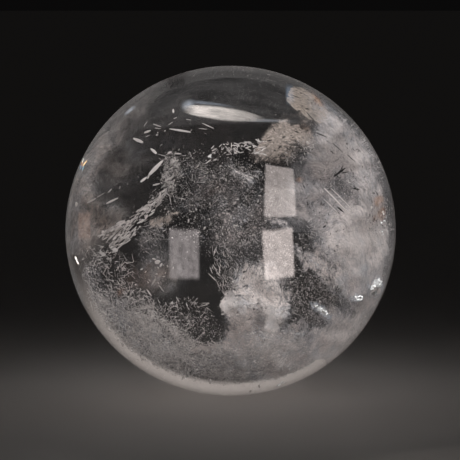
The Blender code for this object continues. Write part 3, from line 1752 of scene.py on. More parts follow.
class Studio:
    """A pale floor in a pool of light, with a dark room behind and glowing cards round the ball."""

    # what the ball's polish mirrors: two windows, the light overhead and small things at its rim
    CARDS = (
        LightCard(
            "left_window", Through.MIRRORED, ((167, 226), (201, 227), (201, 282), (168, 281)), 1.56,
            colour="#FFF3F2", soft=0.12, uneven=0.3, ripple=0.08,
        ),
        LightCard(
            "right_window_low", Through.MIRRORED, ((260, 229), (294, 225), (296, 279), (264, 282)), 3.4,
            colour="#FFF0EB", soft=0.1, uneven=0.16, ripple=0.08,
        ),
        LightCard(
            "right_window_middle", Through.MIRRORED, ((263, 183), (296.5, 187), (298, 218), (263, 219)),
            2.7, colour="#FFF1EC", soft=0.1, uneven=0.16, ripple=0.06,
        ),
        LightCard(
            "right_window_high", Through.MIRRORED, ((264, 163), (294.5, 168), (297, 190), (263.5, 187)),
            2.15, colour="#FFF1EC", soft=0.1, uneven=0.16, ripple=0.06,
        ),
        LightCard(
            "overhead_window", Through.MIRRORED, ((180, 105.6), (268, 118.4), (268, 121), (182, 113)), 4.8,
            bow=(6.0, -4.5), soft=0.2, fade=0.7, uneven=0.28, ripple=0.1,
        ),
        LightCard(
            "overhead_blind", Through.MIRRORED, ((185, 99.5), (242, 108), (242, 109.4), (186, 104.4)), 1.4,
            colour="#DDE9FA", bow=(2.0, 1.0), soft=0.35, fade=0.9,
        ),
        LightCard(
            "overhead_corner", Through.MIRRORED, ((179, 101), (197, 98), (198, 107), (179.5, 114.5)), 2.0,
            colour="#E2ECFA", bow=(1.5, 0.0), soft=0.5,
        ),
        LightCard(
            "overhead_ledge", Through.MIRRORED, ((238, 117), (300, 120), (300, 123), (238, 122.5)), 1.6,
            colour="#EAF0FA", soft=0.4, fade=0.8,
        ),
        LightCard(
            "left_sliver", Through.MIRRORED, ((74.0, 256.0), (75.8, 255.2), (79.8, 265.2), (78.2, 265.8)),
            7.0, soft=0.25,
        ),
        LightCard(
            "left_rim_window", Through.MIRRORED,
            ((121.0, 114.5), (135.5, 103.0), (138.5, 106.5), (124.5, 118.0)), 1.5, colour="#DCE8F8",
            soft=0.5,
        ),
        LightCard(
            "left_curtain", Through.MIRRORED, ((77.5, 211.0), (91.0, 210.5), (91.5, 240.0), (77.5, 241.0)),
            0.62, colour="#F0C0A6", soft=0.14, uneven=0.35, ripple=0.1,
        ),
        LightCard(
            "lower_right_sheen", Through.MIRRORED,
            ((271.0, 384.5), (286.0, 379.5), (287.0, 383.0), (273.5, 388.0)), 1.4, soft=0.45,
        ),
    )

    # what shows faintly through the clear upper part of the ball
    DOME = (
        LightCard(
            "dome_below", Through.BENT, ((122, 116), (318, 103), (323, 128), (122, 134)), 0.058,
            colour="#F6F3F3", bow=(36.0, 5.0), soft=0.1, reach=0.022, uneven=0.35, ripple=0.05,
        ),
        LightCard(
            "blue_fringe", Through.BENT, ((284, 82), (295, 82), (296, 107), (285, 107)), 0.3,
            colour="#C4DAF4", soft=0.4, reach=0.018,
        ),
    )

    # the bright crescent along the lower rim, the lighter band at the top, and a sheen round the rim
    ARCHES = (
        RimGlow(
            "pale_arch", inner=0.895, first=100.0, last=-110.0, glow=0.5,
            heights=(
                (0.0, 0.0), (0.09, 0.08), (0.16, 0.4), (0.23, 0.85), (0.33, 1.0), (0.48, 1.0),
                (0.69, 0.85), (0.77, 0.6), (0.82, 0.25), (0.88, 0.05), (1.0, 0.0),
            ),
        ),
        RimGlow(
            "arch_below", inner=0.925, first=112.0, last=212.0, glow=0.115,
            heights=(
                (0.0, 0.5), (0.3, 0.7), (0.44, 0.82), (0.46, 0.3), (0.5, 0.34), (0.52, 0.88), (0.7, 1.0),
                (1.0, 0.8),
            ),
            soft=0.06, reach=0.02, colour="#F4F1F0",
        ),
        RimGlow(
            "rim_sheen", inner=0.955, first=62.0, last=300.0, glow=0.16,
            heights=(
                (0.0, 0.0), (0.06, 0.8), (0.385, 0.8), (0.4, 0.3), (0.425, 0.3), (0.44, 0.8), (0.8, 0.5),
                (1.0, 0.0),
            ),
            soft=0.6, reach=0.045, colour="#F6F2F0", through=Through.MIRRORED,
        ),
    )

    # each lamp's name, the direction to it, and its strength
    LAMPS = (
        ("overhead_lamp", (0.15, -0.35, 0.9), 0.9),
        ("right_lamp", (0.8, -0.75, 0.25), 0.7),
        ("left_lamp", (-0.9, -0.5, 0.2), 0.35),
        ("back_lamp", (0.1, 0.9, 0.6), 0.6),
    )
    LAMP_WIDTH = 12.0  # in degrees
    LAMP_DISTANCE = 0.5

    AIR = "#FFFAF9"
    VEIL_SLOPES = (0.35, 0.95)
    VEIL_LIGHT = (1.04, 0.32)  # on the haze, from near the horizon and from straight above
    HORIZON = (-0.02, 0.02)
    FLOOR_LIGHT = 0.005
    ROOM_SEEN = 0.003
    ROOM_THROUGH_BALL = 0.013  # added where the room is seen through the ball

    FLOOR_SIDE = 6.0
    FLOOR_COLOUR = "#DCD9D5"
    POOL_WATTS = 0.3
    POOL_ANGLE = 34
    POOL_LAMP_RADIUS = 0.05
    POOL_LAMP = (0, -0.20, 0.42)
    POOL_MIDDLE = (0, -0.06, 0)
    BOUNCES = {
        "max_bounces": 24,
        "diffuse_bounces": 5,
        "glossy_bounces": 8,
        "transmission_bounces": 20,
        "transparent_max_bounces": 16,
    }

    def __init__(self, sight: Sight) -> None:
        """Keeps the view that the lights are set for.

        Args:
            sight: The photograph's view.
        """
        self.sight = sight

    def _world(self) -> None:
        """Makes the room: dark to the eye and through the clear ball, and soft light on what is dull."""
        world = bpy.data.worlds.new("room")
        bpy.context.scene.world = world
        world.use_nodes = True
        tree = world.node_tree
        tree.nodes.clear()
        path = add_node(tree, "ShaderNodeLightPath")
        place = add_node(tree, "ShaderNodeTexCoord")
        axes = add_node(tree, "ShaderNodeSeparateXYZ", links={0: place.outputs["Generated"]})
        through_ball = path.outputs["Is Transmission Ray"]
        bounced = worked_out(tree, "GREATER_THAN", path.outputs["Diffuse Depth"], 0.5)
        veil = worked_out(tree, "MULTIPLY", bounced, through_ball)
        floor = worked_out(tree, "SUBTRACT", bounced, veil)
        steepness = worked_out(tree, "ABSOLUTE", axes.outputs["Z"])
        spread = ranged(tree, steepness, self.VEIL_SLOPES, self.VEIL_LIGHT)
        above = worked_out(tree, "MULTIPLY", spread, ranged(tree, axes.outputs["Z"], self.HORIZON))
        veil_light = worked_out(tree, "MULTIPLY", veil, above)
        soft_light = worked_out(tree, "MULTIPLY_ADD", floor, self.FLOOR_LIGHT, veil_light)
        seen = worked_out(tree, "MULTIPLY_ADD", through_ball, self.ROOM_THROUGH_BALL, self.ROOM_SEEN)
        strength = worked_out(tree, "ADD", soft_light, seen)
        background = add_node(
            tree, "ShaderNodeBackground", values={"Color": linear(self.AIR)}, links={"Strength": strength}
        )
        add_node(tree, "ShaderNodeOutputWorld", links={"Surface": background.outputs[0]})
        world.cycles.sampling_method = "NONE"

    def _floor(self) -> None:
        """Lays the pale floor, which the ball's bent light doesn't show, as its far edge would be a line."""
        bpy.ops.object.select_all(action="DESELECT")
        bpy.ops.mesh.primitive_plane_add(size=self.FLOOR_SIDE, location=(0, 0, 0))
        floor = bpy.context.object
        floor.name = "pale_floor"
        material, tree = empty_material("pale_floor")
        values = {"Base Color": linear(self.FLOOR_COLOUR), "Roughness": 0.8, "Specular IOR Level": 0.2}
        surfaced(tree, values)
        floor.data.materials.append(material)
        floor.visible_transmission = False

    def _pool(self) -> None:
        """Hangs the lamp that makes the pool of light on the floor."""
        lamp = bpy.data.lights.new("pool_lamp", "SPOT")
        lamp.energy = self.POOL_WATTS
        lamp.spot_size = math.radians(self.POOL_ANGLE)
        lamp.spot_blend = 1.0
        lamp.shadow_soft_size = self.POOL_LAMP_RADIUS
        pool = bpy.data.objects.new("pool_lamp", lamp)
        bpy.context.scene.collection.objects.link(pool)
        pool.location = self.POOL_LAMP
        aim = Vector(self.POOL_MIDDLE) - pool.location
        pool.rotation_euler = aim.to_track_quat("-Z", "Y").to_euler()
        pool.visible_glossy = False
        pool.visible_transmission = False

    def _stone_lamps(self, inside: list[Object]) -> None:
        """Hangs the lamps that light what is inside the ball, and nothing else.

        Args:
            inside: The pieces inside the ball.
        """
        lit = bpy.data.collections.new("inside_the_ball")
        for piece in inside:
            lit.objects.link(piece)
        for name, toward, strength in self.LAMPS:
            light = bpy.data.lights.new(name, "SUN")
            light.energy = strength
            light.angle = math.radians(self.LAMP_WIDTH)
            lamp = bpy.data.objects.new(name, light)
            bpy.context.scene.collection.objects.link(lamp)
            lamp.location = Vector(toward).normalized() * self.LAMP_DISTANCE
            lamp.rotation_euler = (-Vector(toward)).to_track_quat("-Z", "Y").to_euler()
            lamp.light_linking.receiver_collection = lit

    def build(self, inside: list[Object]) -> None:
        """Sets up the room, the floor, the lights and how the picture is developed.

        Args:
            inside: The pieces inside the ball, which lamps of their own light.
        """
        self._world()
        self._floor()
        self._pool()
        self._stone_lamps(inside)
        for card in self.CARDS + self.DOME + self.ARCHES:
            card.build(self.sight)
        scene = bpy.context.scene
        scene.view_settings.view_transform = "Standard"
        scene.view_settings.look = "None"
        for limit, bounces in self.BOUNCES.items():
            setattr(scene.cycles, limit, bounces)


VEILS: tuple[Veil, ...] = (
    Veil(
        "milky_cloud_right",
        HazeFinish(
            "milky_haze_right", thick="#FAF1EE", wisp_mm=1.5, streak=2.2, along=-48.0, ragged=0.55,
            edge=(0.0, 0.88), opacity=0.68, grainy=0.36, threads=0.12, flakes=0.16, flake_mm=0.3,
            sparse=0.8,
        ),
        many(
            Oval, (326, 108, 34, 14, -44, 0.42, 0.30), (352, 145, 40, 28, -50, 0.7, 0.35),
            (376, 185, 24, 40, -20, 0.55, 0.35), (330, 155, 30, 22, 0, 0.9, 0.4),
            (314, 196, 34, 34, 0, 0.56, 0.45), (368, 245, 34, 46, 5, 0.72, 0.4),
            (345, 238, 26, 30, 0, 0.82, 0.3), (372, 300, 24, 30, 30, 0.9, 0.35),
            (335, 350, 46, 28, 38, 1.0, 0.35), (300, 368, 42, 18, 14, 1.0, 0.35),
        ),
        sheets=2, apart=0.2, seed=21, warp=10.0, rim_loss=0.45,
    ),
    Veil(
        "milky_edge_upper",
        HazeFinish(
            "beige_haze_upper", thick="#E2D3C6", thin="#B4A89E", wisp_mm=1.0, streak=1.6, along=-40.0,
            ragged=0.3, edge=(0.3, 0.55), opacity=0.6, grainy=0.5, flakes=0.2, tinted=0.2,
        ),
        many(
            Oval, (302, 94, 14.5, 13, -30, 1.0, 0.2), (299, 103.5, 11.5, 6.5, -20, 1.0, 0.2),
            (286, 79, 10, 2, -38, 0.6, 0.2), (311, 113, 16, 7, -38, 0.9, 0.2),
            (314, 106, 18, 11, -46, 1.0, 0.2),
        ),
        sheets=1, wave=0.03, seed=23, step=1.4, warp=3.0, warp_size=9.0, rim_loss=0.6,
    ),
    Veil(
        "blue_white_haze_and_painted_glow",
        HazeFinish(
            "blue_white_glow_and_haze_finish", thick="#F8FAFF", thin="#C9D6E4", wisp_mm=0.7, streak=2.4, along=-35.0,
            ragged=0.8, edge=(0.1, 0.8), opacity=0.8, grainy=0.6, flakes=0.5, flake_mm=0.2, tint="#BCD2EA",
        ),
        many(
            # the ovals at (357, 298) and (375, 288) are a painted glow: white haze round the sparkles there;
            # the others are bluish haze
            Oval, (321, 310, 13, 5, -35, 0.95, 0.2), (316, 262, 18, 7, -40, 0.3, 0.25),
            (326, 205, 24, 14, -30, 0.15, 0.25), (222, 262, 8, 16, 25, 0.18, 0.25),
            (357, 298, 8, 5, 0, 0.7, 0.2), (375, 288, 8, 11, -15, 1.0, 0.15),
        ),
        sheets=1, wave=0.03, seed=25, step=1.4, warp=4.0, warp_size=8.0,
    ),
    Veil(
        "milky_cloud_middle",
        HazeFinish(
            "milky_haze_middle", thick="#F8EEEA", wisp_mm=1.3, streak=2.0, along=-55.0, ragged=0.95,
            edge=(0.22, 0.85), opacity=0.9, grainy=0.6, threads=0.2, flakes=0.5, flake_mm=0.2,
        ),
        many(
            Oval, (262, 300, 30, 24, 20, 0.95, 0.3), (246, 270, 16, 26, 25, 0.28, 0.4),
            (280, 223, 22, 5, 0, 0.5, 0.4), (262, 282, 20, 20, 0, 0.7, 0.35),
            (222, 252, 10, 18, 20, 0.12, 0.4), (238, 325, 16, 22, 10, 0.85, 0.3),
            (272, 322, 14, 12, 0, 1.0, 0.3), (320, 264, 24, 15, -35, 0.8, 0.35),
            (330, 314, 20, 12, -20, 0.6, 0.35), (308, 340, 30, 14, 0, 0.7, 0.35),
            (348, 282, 16, 20, 0, 0.9, 0.3), (250, 350, 38, 18, 0, 0.8, 0.35),
            (240, 172, 24, 7, -25, 0.45, 0.3), (128, 262, 26, 16, 0, 0.15, 0.4),
        ),
        sheets=2, apart=0.12, seed=31,
    ),
    Veil(
        "thin_cloud_middle",
        HazeFinish(
            "thin_haze_middle", wisp_mm=2.2, streak=1.5, along=30.0, ragged=0.95, edge=(0.1, 0.8),
            opacity=0.22, grainy=0.6, threads=0.1, flakes=0.6, flake_mm=0.3, sparse=0.86,
        ),
        many(
            Oval, (240, 200, 34, 34, 0, 0.36, 0.5), (232, 232, 40, 26, 0, 0.4, 0.5),
            (285, 240, 34, 44, 0, 0.22, 0.5), (284, 188, 22, 32, 0, 0.16, 0.5),
            (152, 246, 16, 26, 0, 0.42, 0.35), (190, 206, 20, 8, 25, 0.36, 0.4),
            (205, 180, 42, 20, 0, 0.22, 0.35),
        ),
        sheets=2, apart=0.12, seed=35,
    ),
    Veil(
        "milky_cloud_lower",
        HazeFinish(
            "milky_haze_lower", thick="#FFF8F5", wisp_mm=1.6, streak=1.6, along=-20.0, ragged=0.95,
            opacity=0.7, grainy=0.8, threads=0.3, thread_mm=1.1, flakes=0.7, flake_mm=0.25, sparse=0.7,
        ),
        many(
            Oval, (262, 355, 46, 26, 0, 1.0, 0.25), (205, 368, 56, 16, -14, 0.46, 0.3),
            (150, 345, 46, 20, -38, 0.42, 0.3), (104, 310, 30, 20, -55, 0.5, 0.3),
            (84, 278, 14, 24, -60, 0.5, 0.3),
        ),
        sheets=2, apart=0.1, seed=41,
    ),
    Veil(
        "smoky_veil_left",
        HazeFinish(
            "smoky_haze_left", thick="#CFC3BC", thin="#A9A6A4", wisp_mm=1.1, streak=2.0, along=40.0,
            ragged=0.85, edge=(0.0, 1.0), opacity=0.48, grainy=0.5, flakes=0.08, flake_mm=0.6, tinted=0.4,
        ),
        many(
            Oval, (78, 215, 20, 56, 5, 0.95, 0.4), (88, 165, 15, 40, -30, 0.65, 0.5),
            (134, 110, 44, 14, 46, 0.4, 0.5), (108, 222, 20, 24, 0, 0.7, 0.4),
            (120, 150, 30, 24, 45, 0.24, 0.6), (112, 178, 30, 14, 20, 0.24, 0.6),
            (160, 160, 50, 44, 0, 0.14, 0.6), (156, 238, 16, 20, 0, 0.2, 0.5),
            (158, 276, 26, 24, 0, 0.55, 0.4),
        ),
        sheets=2, apart=0.15, seed=51, warp=8.0,
    ),
    Veil(
        "milky_lobe_upper",
        HazeFinish(
            "milky_lobe_haze", thick="#DED0C6", thin="#9C9089", wisp_mm=1.5, streak=1.4, ragged=0.5,
            edge=(0.16, 0.7), opacity=0.68, grainy=0.5, flakes=0.35, flake_mm=0.25, tinted=0.15,
        ),
        many(
            Oval, (160, 221, 13, 6, 12, 0.6, 0.25), (172, 212, 8, 3, 40, 0.5, 0.25),
            (278, 156, 24, 10, 0, 0.5, 0.25), (303, 129, 13, 6, -14, 0.9, 0.25),
            (306, 116, 16, 5, -28, 0.42, 0.2), (287, 135, 24, 15, 12, 1.0, 0.25),
            (267, 150, 15, 9, 35, 1.0, 0.25), (308, 140, 13, 8, -10, 0.6, 0.25),
        ),
        sheets=1, wave=0.05, seed=61, step=1.4, warp=9.0, warp_size=14.0,
    ),
    Veil(
        "milky_lobes_lower",
        HazeFinish(
            "milky_lobe_haze_lower", thick="#FFF6F2", thin="#E4DAD6", wisp_mm=1.2, streak=1.4, ragged=0.5,
            edge=(0.32, 0.56), opacity=0.95, grainy=0.3, flakes=0.2, flake_mm=0.2, tinted=0.25,
        ),
        many(
            Oval, (229, 302, 8, 13, -20, 0.95, 0.22), (244, 318, 12, 22, 15, 0.62, 0.25),
            (273, 320, 12, 10, 0, 1.0, 0.12), (212, 353, 22, 6, 0, 0.85, 0.25),
        ),
        sheets=1, wave=0.05, seed=62, step=1.4, warp=12.0, warp_size=16.0,
    ),
    Veil(
        "stains_and_painted_warm_reflection",
        HazeFinish(
            "stain_and_painted_reflection_haze", thick="#CE9A74", thin="#B48A76", wisp_mm=1.0, streak=1.3, ragged=0.7,
            edge=(0.1, 0.9), opacity=0.5, tinted=0.0,
        ),
        many(
            Oval, (305, 127, 8, 4, -10, 0.25, 0.18), (318, 101, 15, 4, -48, 0.55, 0.12),
            (146, 276, 26, 20, 0, 0.42, 0.5), (378, 201, 5, 6, -40, 1.0, 0.12),
            (382, 213, 4, 7, 0, 0.9, 0.12), (375, 218, 6, 4, 40, 0.5, 0.12), (300, 180, 3, 3, 0, 0.6, 0.2),
            # the warm patch at (104, 225) is a painted reflection, carrying on the warm rectangle that the
            # left_curtain card mirrors at the left rim
            (104, 225, 9, 14, 0, 0.3, 0.35), (120, 292, 5, 5, 0, 0.5, 0.25),
            (90, 168, 14, 18, -30, 0.22, 0.4), (118, 172, 12, 8, 20, 0.22, 0.4),
            (208, 190, 24, 12, 20, 0.25, 0.5),
        ),
        sheets=1, wave=0.02, seed=81, step=1.6, warp=3.0, warp_size=8.0,
    ),
)

SWARMS: tuple[Swarm, ...] = (
    Swarm(
        "splinters_middle", GrainShape.SPLINTER, 2200, (0.2, 1.3), 0.1, 0.08,
        many(
            Oval, (171, 171, 10, 21, 0, 2.6, 0.3, 0.1), (195, 161, 24, 9, 5, 1.0, 0.3, 0.15),
            (228, 175, 32, 13, 0, 0.8, 0.3, 0.2), (198, 192, 26, 16, 0, 0.7, 0.35, 0.2),
            (232, 200, 24, 14, 0, 0.3, 0.4, 0.2), (158, 205, 10, 16, 30, 0.6, 0.3, 0.1),
            (222, 268, 12, 26, 20, 0.5, 0.3, 0.1), (152, 236, 15, 22, 0, 1.0, 0.3, 0.15),
        ),
        wisp=2.3, gaps=0.95, stray=0.035, dull=0.6, seed=12,
    ),
    Swarm(
        "splinters_lower", GrainShape.SPLINTER, 17000, (0.25, 1.7), 0.1, 0.08,
        many(
            Oval, (104, 268, 28, 22, 10, 0.16, 0.3, 0.1), (126, 302, 32, 19, -30, 0.32, 0.3, 0.15),
            (106, 318, 14, 34, 40, 1.0, 0.3, 0.15), (160, 342, 42, 24, -28, 1.0, 0.3, 0.2),
            (185, 312, 26, 14, 0, 0.12, 0.3, 0.2), (225, 362, 36, 18, -4, 1.0, 0.3, 0.2),
            (275, 350, 34, 20, 10, 0.6, 0.3, 0.2),
        ),
        wisp=2.1, gaps=0.9, stray=0.05, dull=0.15, seed=13,
    ),
    Swarm(
        "splinters_right", GrainShape.SPLINTER, 4200, (0.2, 1.3), 0.1, 0.08,
        many(
            Oval, (316, 254, 22, 26, 0, 0.8, 0.3, 0.2), (318, 300, 34, 24, 20, 0.7, 0.3, 0.2),
            (250, 300, 26, 24, 0, 0.6, 0.25, 0.1), (300, 152, 20, 10, 20, 0.9, 0.22, 0.08),
            (380, 228, 12, 34, 5, 0.9, 0.2, 0.1), (365, 315, 20, 24, 40, 0.5, 0.25, 0.1),
        ),
        wisp=1.5, gaps=0.7, stray=0.05, dull=0.5, seed=15,
    ),
    Swarm(
        "crumbs_all_over", GrainShape.CRUMB, 30000, (0.06, 0.2), 1.0, 1.0,
        many(
            Oval, (345, 160, 46, 34, -45, 0.5, 0.4, 0.3), (365, 240, 28, 56, 0, 0.7, 0.4, 0.3),
            (325, 310, 40, 40, 35, 0.5, 0.4, 0.3), (220, 200, 60, 50, 0, 0.25, 0.45, 0.3),
            (260, 275, 40, 50, 0, 0.5, 0.35, 0.2), (180, 345, 80, 34, -20, 0.5, 0.4, 0.3),
        ),
        wisp=2.4, gaps=0.8, seed=14,
    ),
    Swarm(
        "flecks_and_painted_sparkle", GrainShape.PLATE, 3400, (0.18, 0.8), 0.4, 0.1,
        many(
            # the dense ovals at (376, 287) and (321, 310) are a painted highlight: white flecks heaped on
            # the sparkles there
            Oval, (171, 173, 8, 18, -8, 10.0, 0.25, 0.08), (376, 287, 5, 8.5, -20, 26.0, 0.1, 0.03),
            (321, 310, 7, 2, -35, 12.0, 0.15, 0.03), (225, 172, 36, 12, 0, 1.2, 0.25, 0.1),
            (195, 188, 26, 14, 0, 0.9, 0.3, 0.1), (225, 215, 30, 20, 0, 0.25, 0.3, 0.1),
            (130, 320, 50, 30, -40, 1.5, 0.25, 0.15), (220, 362, 40, 18, 0, 1.5, 0.25, 0.15),
            (250, 304, 28, 30, 0, 0.8, 0.25, 0.1), (152, 270, 16, 18, 0, 0.6, 0.25, 0.1),
            (318, 275, 34, 40, 0, 0.8, 0.25, 0.1), (300, 150, 16, 10, 0, 1.5, 0.15, 0.05),
            (230, 240, 130, 120, 0, 0.05, 0.3, 0.2),
        ),
        wisp=1.9, gaps=0.9, dull=0.32, seed=16,
    ),
    # near-black plates in the dark gaps between the clouds: a painted dark reflection
    Swarm(
        "pits_painted_dark", GrainShape.PLATE, 1200, (0.15, 0.8), 0.35, 0.12,
        many(
            Oval, (298, 148, 15, 9, 0, 4.0, 0.16, 0.03), (284, 138, 24, 14, 12, 0.8, 0.16, 0.03),
            (308, 98, 17, 9, -44, 2.0, 0.12, 0.02), (345, 158, 44, 24, -45, 0.6, 0.12, 0.02),
            (380, 215, 9, 30, 0, 2.4, 0.1, 0.02), (320, 190, 26, 30, 0, 0.6, 0.15, 0.03),
            (258, 300, 30, 44, 10, 0.5, 0.15, 0.03), (330, 245, 20, 24, 0, 1.0, 0.15, 0.03),
        ),
        wisp=1.2, gaps=0.8, dark=True, seed=17,
    ),
)

BLADES: tuple[Blade, ...] = many(
    Blade, (173.3, 110.9, 4.5, 1.7, 95, 0.9), (175.3, 118.0, 4, 1.1, 20, 0.7),
    (188.6, 119.6, 6, 1.1, -10, 0.5), (180.0, 130.4, 25, 2.8, 171, 0.62),
    (208.0, 125.8, 15, 1.5, 156, 0.5), (203.0, 128.8, 10, 1.1, 174, 0.45),
    (157.2, 125.4, 10, 1.2, -20, 0.5), (158.0, 128.4, 7, 1.0, -8, 0.4), (145.7, 123.7, 7.5, 1.0, 57, 0.5),
    (147.4, 131.6, 8, 3.2, 20, 0.7), (147.5, 136.0, 5, 1.0, 25, 0.5), (157.0, 134.9, 2.6, 1.8, 0, 0.6),
    (165.0, 130.8, 2.2, 1.8, 30, 0.6), (170.6, 123.4, 6, 0.9, 34, 0.5), (137.9, 140.3, 12, 3.0, 156, 0.72),
    (153.6, 151.0, 9, 3.0, 140, 0.75), (162.5, 155.4, 11, 0.9, 164, 0.4),
    (156.0, 167.6, 23, 5.4, 46, 0.95), (148.6, 176.0, 7, 2.2, 70, 0.8), (143.7, 179.5, 9.5, 3.2, 38, 1.0),
    (156.4, 184.4, 8.5, 2.3, 14, 0.6), (91.6, 200.5, 10.5, 1.8, 27, 0.6),
    (100.5, 195.2, 10, 1.0, 30, 0.45), (110.0, 190.6, 6, 1.8, 45, 0.5), (112.1, 200.8, 15, 2.2, 25, 0.8),
    (76.3, 204.3, 2.6, 2.2, 0, 0.8), (169.7, 152.5, 5, 3, 20, 0.8), (177.9, 153.6, 8, 2, -5, 0.7),
    (173.6, 161.2, 6, 4, 30, 0.95), (175.4, 165.6, 4, 3, 80, 0.8), (166.0, 174.6, 9, 2.6, 52, 0.7),
    (169.6, 178.4, 11, 3.0, 24, 0.7), (168.6, 182.2, 9, 2.4, -12, 0.65), (173.2, 175.0, 5, 2.4, 70, 0.6),
    (209.8, 155.8, 5, 3, 40, 1.0), (208.6, 161.4, 7, 1.6, 38, 0.85), (164.6, 193.0, 10, 1.6, 50, 0.6),
    (168.2, 194.6, 7, 1.3, -40, 0.55), (170.4, 200.0, 8, 1.4, -80, 0.5), (113.4, 248.6, 11, 4.6, 152, 1.0),
    # the white blade at (76.2, 260.7) is a painted highlight, laid on the bright streak that the left_sliver
    # card mirrors at the rim
    (102.6, 254.0, 7.5, 3.4, 155, 0.65), (76.2, 260.7, 8.5, 1.9, -60, 1.0, 0.1),
    (157.5, 262.0, 6, 5, 20, 1.0), (154.0, 259.0, 4, 2.5, -20, 0.9), (161.0, 265.0, 5, 2.5, 60, 0.95),
    (94.5, 273.0, 16, 1.1, -69, 0.5), (105.4, 269.6, 12, 1.2, 61, 0.5),
    (149.0, 292.6, 9.5, 2.1, 126, 0.85), (147.3, 296.4, 9, 1.2, -11, 0.7), (153.9, 281.5, 8, 2.0, 60, 0.6),
    (161.6, 288.8, 9.5, 1.3, -53, 0.55), (177.7, 299.5, 6.5, 1.8, -60, 0.6),
    (197.5, 338.4, 18, 1.4, 45, 0.6), (203.5, 333.0, 4, 2.6, 45, 0.9),
    (337.0, 201.0, 42, 1.8, -46, 1.0, 0.13), (343.0, 200.0, 38, 1.1, -45, 0.9, 0.13),
    (331.0, 206.0, 24, 1.0, -44, 0.8, 0.13), (365.2, 211.0, 3, 2.4, -30, 1.0, 0.12),
    (371.6, 207.3, 2.4, 1.8, 20, 1.0, 0.12), (277.8, 366.0, 15, 5, -50, 0.8, 0.2),
    (270.0, 319.5, 12, 9, 12, 0.7, 0.14), (276.0, 321.4, 12, 9, -20, 0.75, 0.14),
    # the white blades from (373.0, 283.0) on are a painted highlight on the sparkle by the right rim
    (272.5, 323.4, 15, 6, 0, 0.7, 0.14), (373.0, 283.0, 5, 2.6, 60, 1.0, 0.06),
    (378.6, 285.4, 7, 2.2, 75, 1.0, 0.06), (374.4, 289.4, 6, 3.4, 20, 1.0, 0.06),
    (379.0, 291.4, 4, 2.2, -40, 1.0, 0.06), (371.6, 292.6, 4, 1.8, 35, 0.9, 0.06),
)

# dark crack lines: near-black blades whose colour is a painted dark reflection
CRACKS: tuple[Blade, ...] = many(
    Blade, (296.3, 96.7, 11, 1.4, -26, 0.8, 0.12), (312.5, 119.0, 20, 1.6, -48, 0.8, 0.14),
    (321.8, 135.0, 13, 1.6, -24, 0.8, 0.14), (338.0, 148.0, 16, 1.2, -42, 0.8, 0.14),
    (351.0, 158.0, 13, 1.5, -42, 0.8, 0.14), (358.8, 150.2, 6, 1.1, -40, 0.8, 0.14),
    (339.7, 172.2, 17, 1.8, 36, 0.8, 0.14), (337.4, 176.4, 9, 1.0, -32, 0.8, 0.13),
    (345.2, 172.4, 8, 0.9, 12, 0.8, 0.13), (341.8, 168.0, 7, 0.9, 62, 0.8, 0.13),
    (356.5, 189.0, 7, 1.4, -10, 0.8, 0.14), (340.5, 209.5, 10, 1.8, -40, 0.8, 0.14),
    (297.0, 132.0, 5, 1.8, -20, 0.8, 0.16), (284.0, 137.0, 4, 1.6, 20, 0.8, 0.16),
    (302.0, 153.0, 12, 2.0, 5, 0.8, 0.16),
)

RAINBOW: tuple[Blade, ...] = many(
    Blade, (83.0, 160.2, 6.0, 2.6, 58, 0.5, 0.04, 0), (84.6, 163.6, 4.4, 1.8, 30, 0.72, 0.04, 0),
    (81.4, 164.2, 4.6, 1.8, 60, 1.0, 0.04, 0), (80.6, 167.2, 4.6, 2.4, 62, 0.0, 0.04, 0),
    (83.0, 168.4, 4.0, 1.4, 50, 0.25, 0.04, 0),
)

BURSTS: tuple[Burst, ...] = (
    Burst(Oval(376, 287, 4.0, 7.5, -20, depth=0.08, thick=0.02), 240, (0.9, 3.6), seed=1),
    Burst(Oval(359, 297.5, 4, 3, 0, depth=0.1, thick=0.02), 18, (1.0, 3.0), seed=2),
    Burst(Oval(321, 310, 7.5, 2.2, -35, depth=0.1, thick=0.02), 60, (1.0, 3.6), seed=3),
    Burst(Oval(280, 383.5, 5, 1.8, 15, depth=0.1, thick=0.02), 8, (1.0, 2.4), seed=4),
    Burst(Oval(318, 262, 12, 5, -35, depth=0.2, thick=0.03), 10, (0.7, 1.6), seed=5),
    Burst(Oval(385, 228, 4, 22, 0, depth=0.12, thick=0.02), 14, (0.8, 2.2), seed=6),
    Burst(Oval(209.8, 155.8, 1.2, 1.2, 0, depth=0.2, thick=0.01), 3, (1.6, 3.4), seed=7),
)

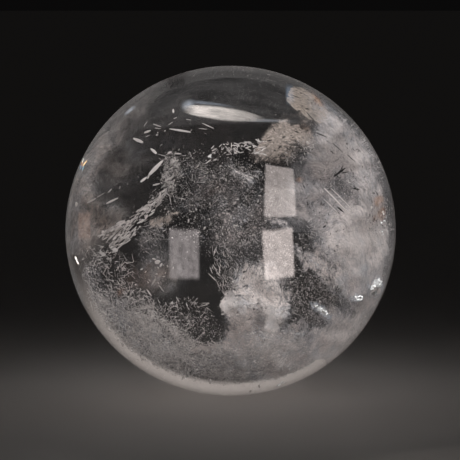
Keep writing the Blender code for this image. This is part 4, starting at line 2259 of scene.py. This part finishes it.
FEATHERS: tuple[Feather, ...] = (
    Feather(
        "feather_of_flakes", (168, 188), (106, 243), (2.5, 8.5, 12.5),
        bow=-3.5, count=250, length=(2.5, 12.0), width=(0.6, 2.3), spread=11.0, seed=71,
    ),
    Feather(
        "ridge_of_flakes", (206, 149), (266, 147), (4.0, 7.0, 8.0),
        count=84, length=(2.5, 8.5), width=(0.6, 1.8), depth=(0.22, 0.22), spread=38.0, seed=72,
    ),
    Feather(
        "spray_of_needles", (216, 246), (240, 302), (9.0, 15.0, 12.0),
        count=90, length=(3.0, 17.0), width=(0.4, 1.0), depth=(0.28, 0.28), spread=24.0, seed=73,
    ),
)


def main() -> None:
    """Builds the ball, what shows inside it and the studio, and reports each piece."""
    logging.basicConfig(level=logging.INFO, format="%(name)s: %(message)s")
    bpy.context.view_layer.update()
    shape = BallShape.from_frame()
    sight = Sight(shape)
    sight.place_camera()

    ball = CrystalBall(shape, RockCrystal()).build()
    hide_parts(CAD_BALL)
    pieces = [ball]

    patterns = {kind: GrainPattern(kind) for kind in GrainShape}
    milky = GrainFinish("milky_quartz").material()
    # near-black crack colour without metal: a painted dark reflection
    dark = AirGapFinish("crack_colour_painted_dark", "#1C1A1A", 0.0, 0.5).material()
    silver = AirGapFinish("silvery_crack", "#FFFFFF", 1.0, 0.42).material()
    rainbow = InterferenceFinish("rainbow_crack").material()
    for veil in VEILS:
        pieces.append(veil.build(sight))
    for swarm in SWARMS:
        # swarms marked dark take the painted dark reflection colour
        pieces.append(swarm.build(sight, patterns[swarm.shape], dark if swarm.dark else milky))
    blade = patterns[GrainShape.BLADE]
    pieces.append(laid_blades("lone_blades", sight, blade, list(BLADES), milky))
    for feather in FEATHERS:
        pieces.append(laid_blades(feather.name, sight, blade, feather.flakes(), milky))
    # the crack lines take the painted dark reflection colour
    pieces.append(laid_blades("crack_lines_painted_dark", sight, blade, list(CRACKS), dark))
    lamp = Vector(Studio.LAMPS[0][1])
    pieces.append(laid_blades("rainbow_plates", sight, blade, list(RAINBOW), rainbow, lamp))
    walls = [wall for burst in BURSTS for wall in burst.walls()]
    pieces.append(laid_blades("sparkling_walls", sight, blade, walls, silver, lamp))
    for piece in pieces:
        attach(piece, BODY)
        LOG.info("%s: %d faces", piece.name, len(piece.data.polygons))

    Studio(sight).build(pieces[1:])


if __name__ == "__main__":
    main()
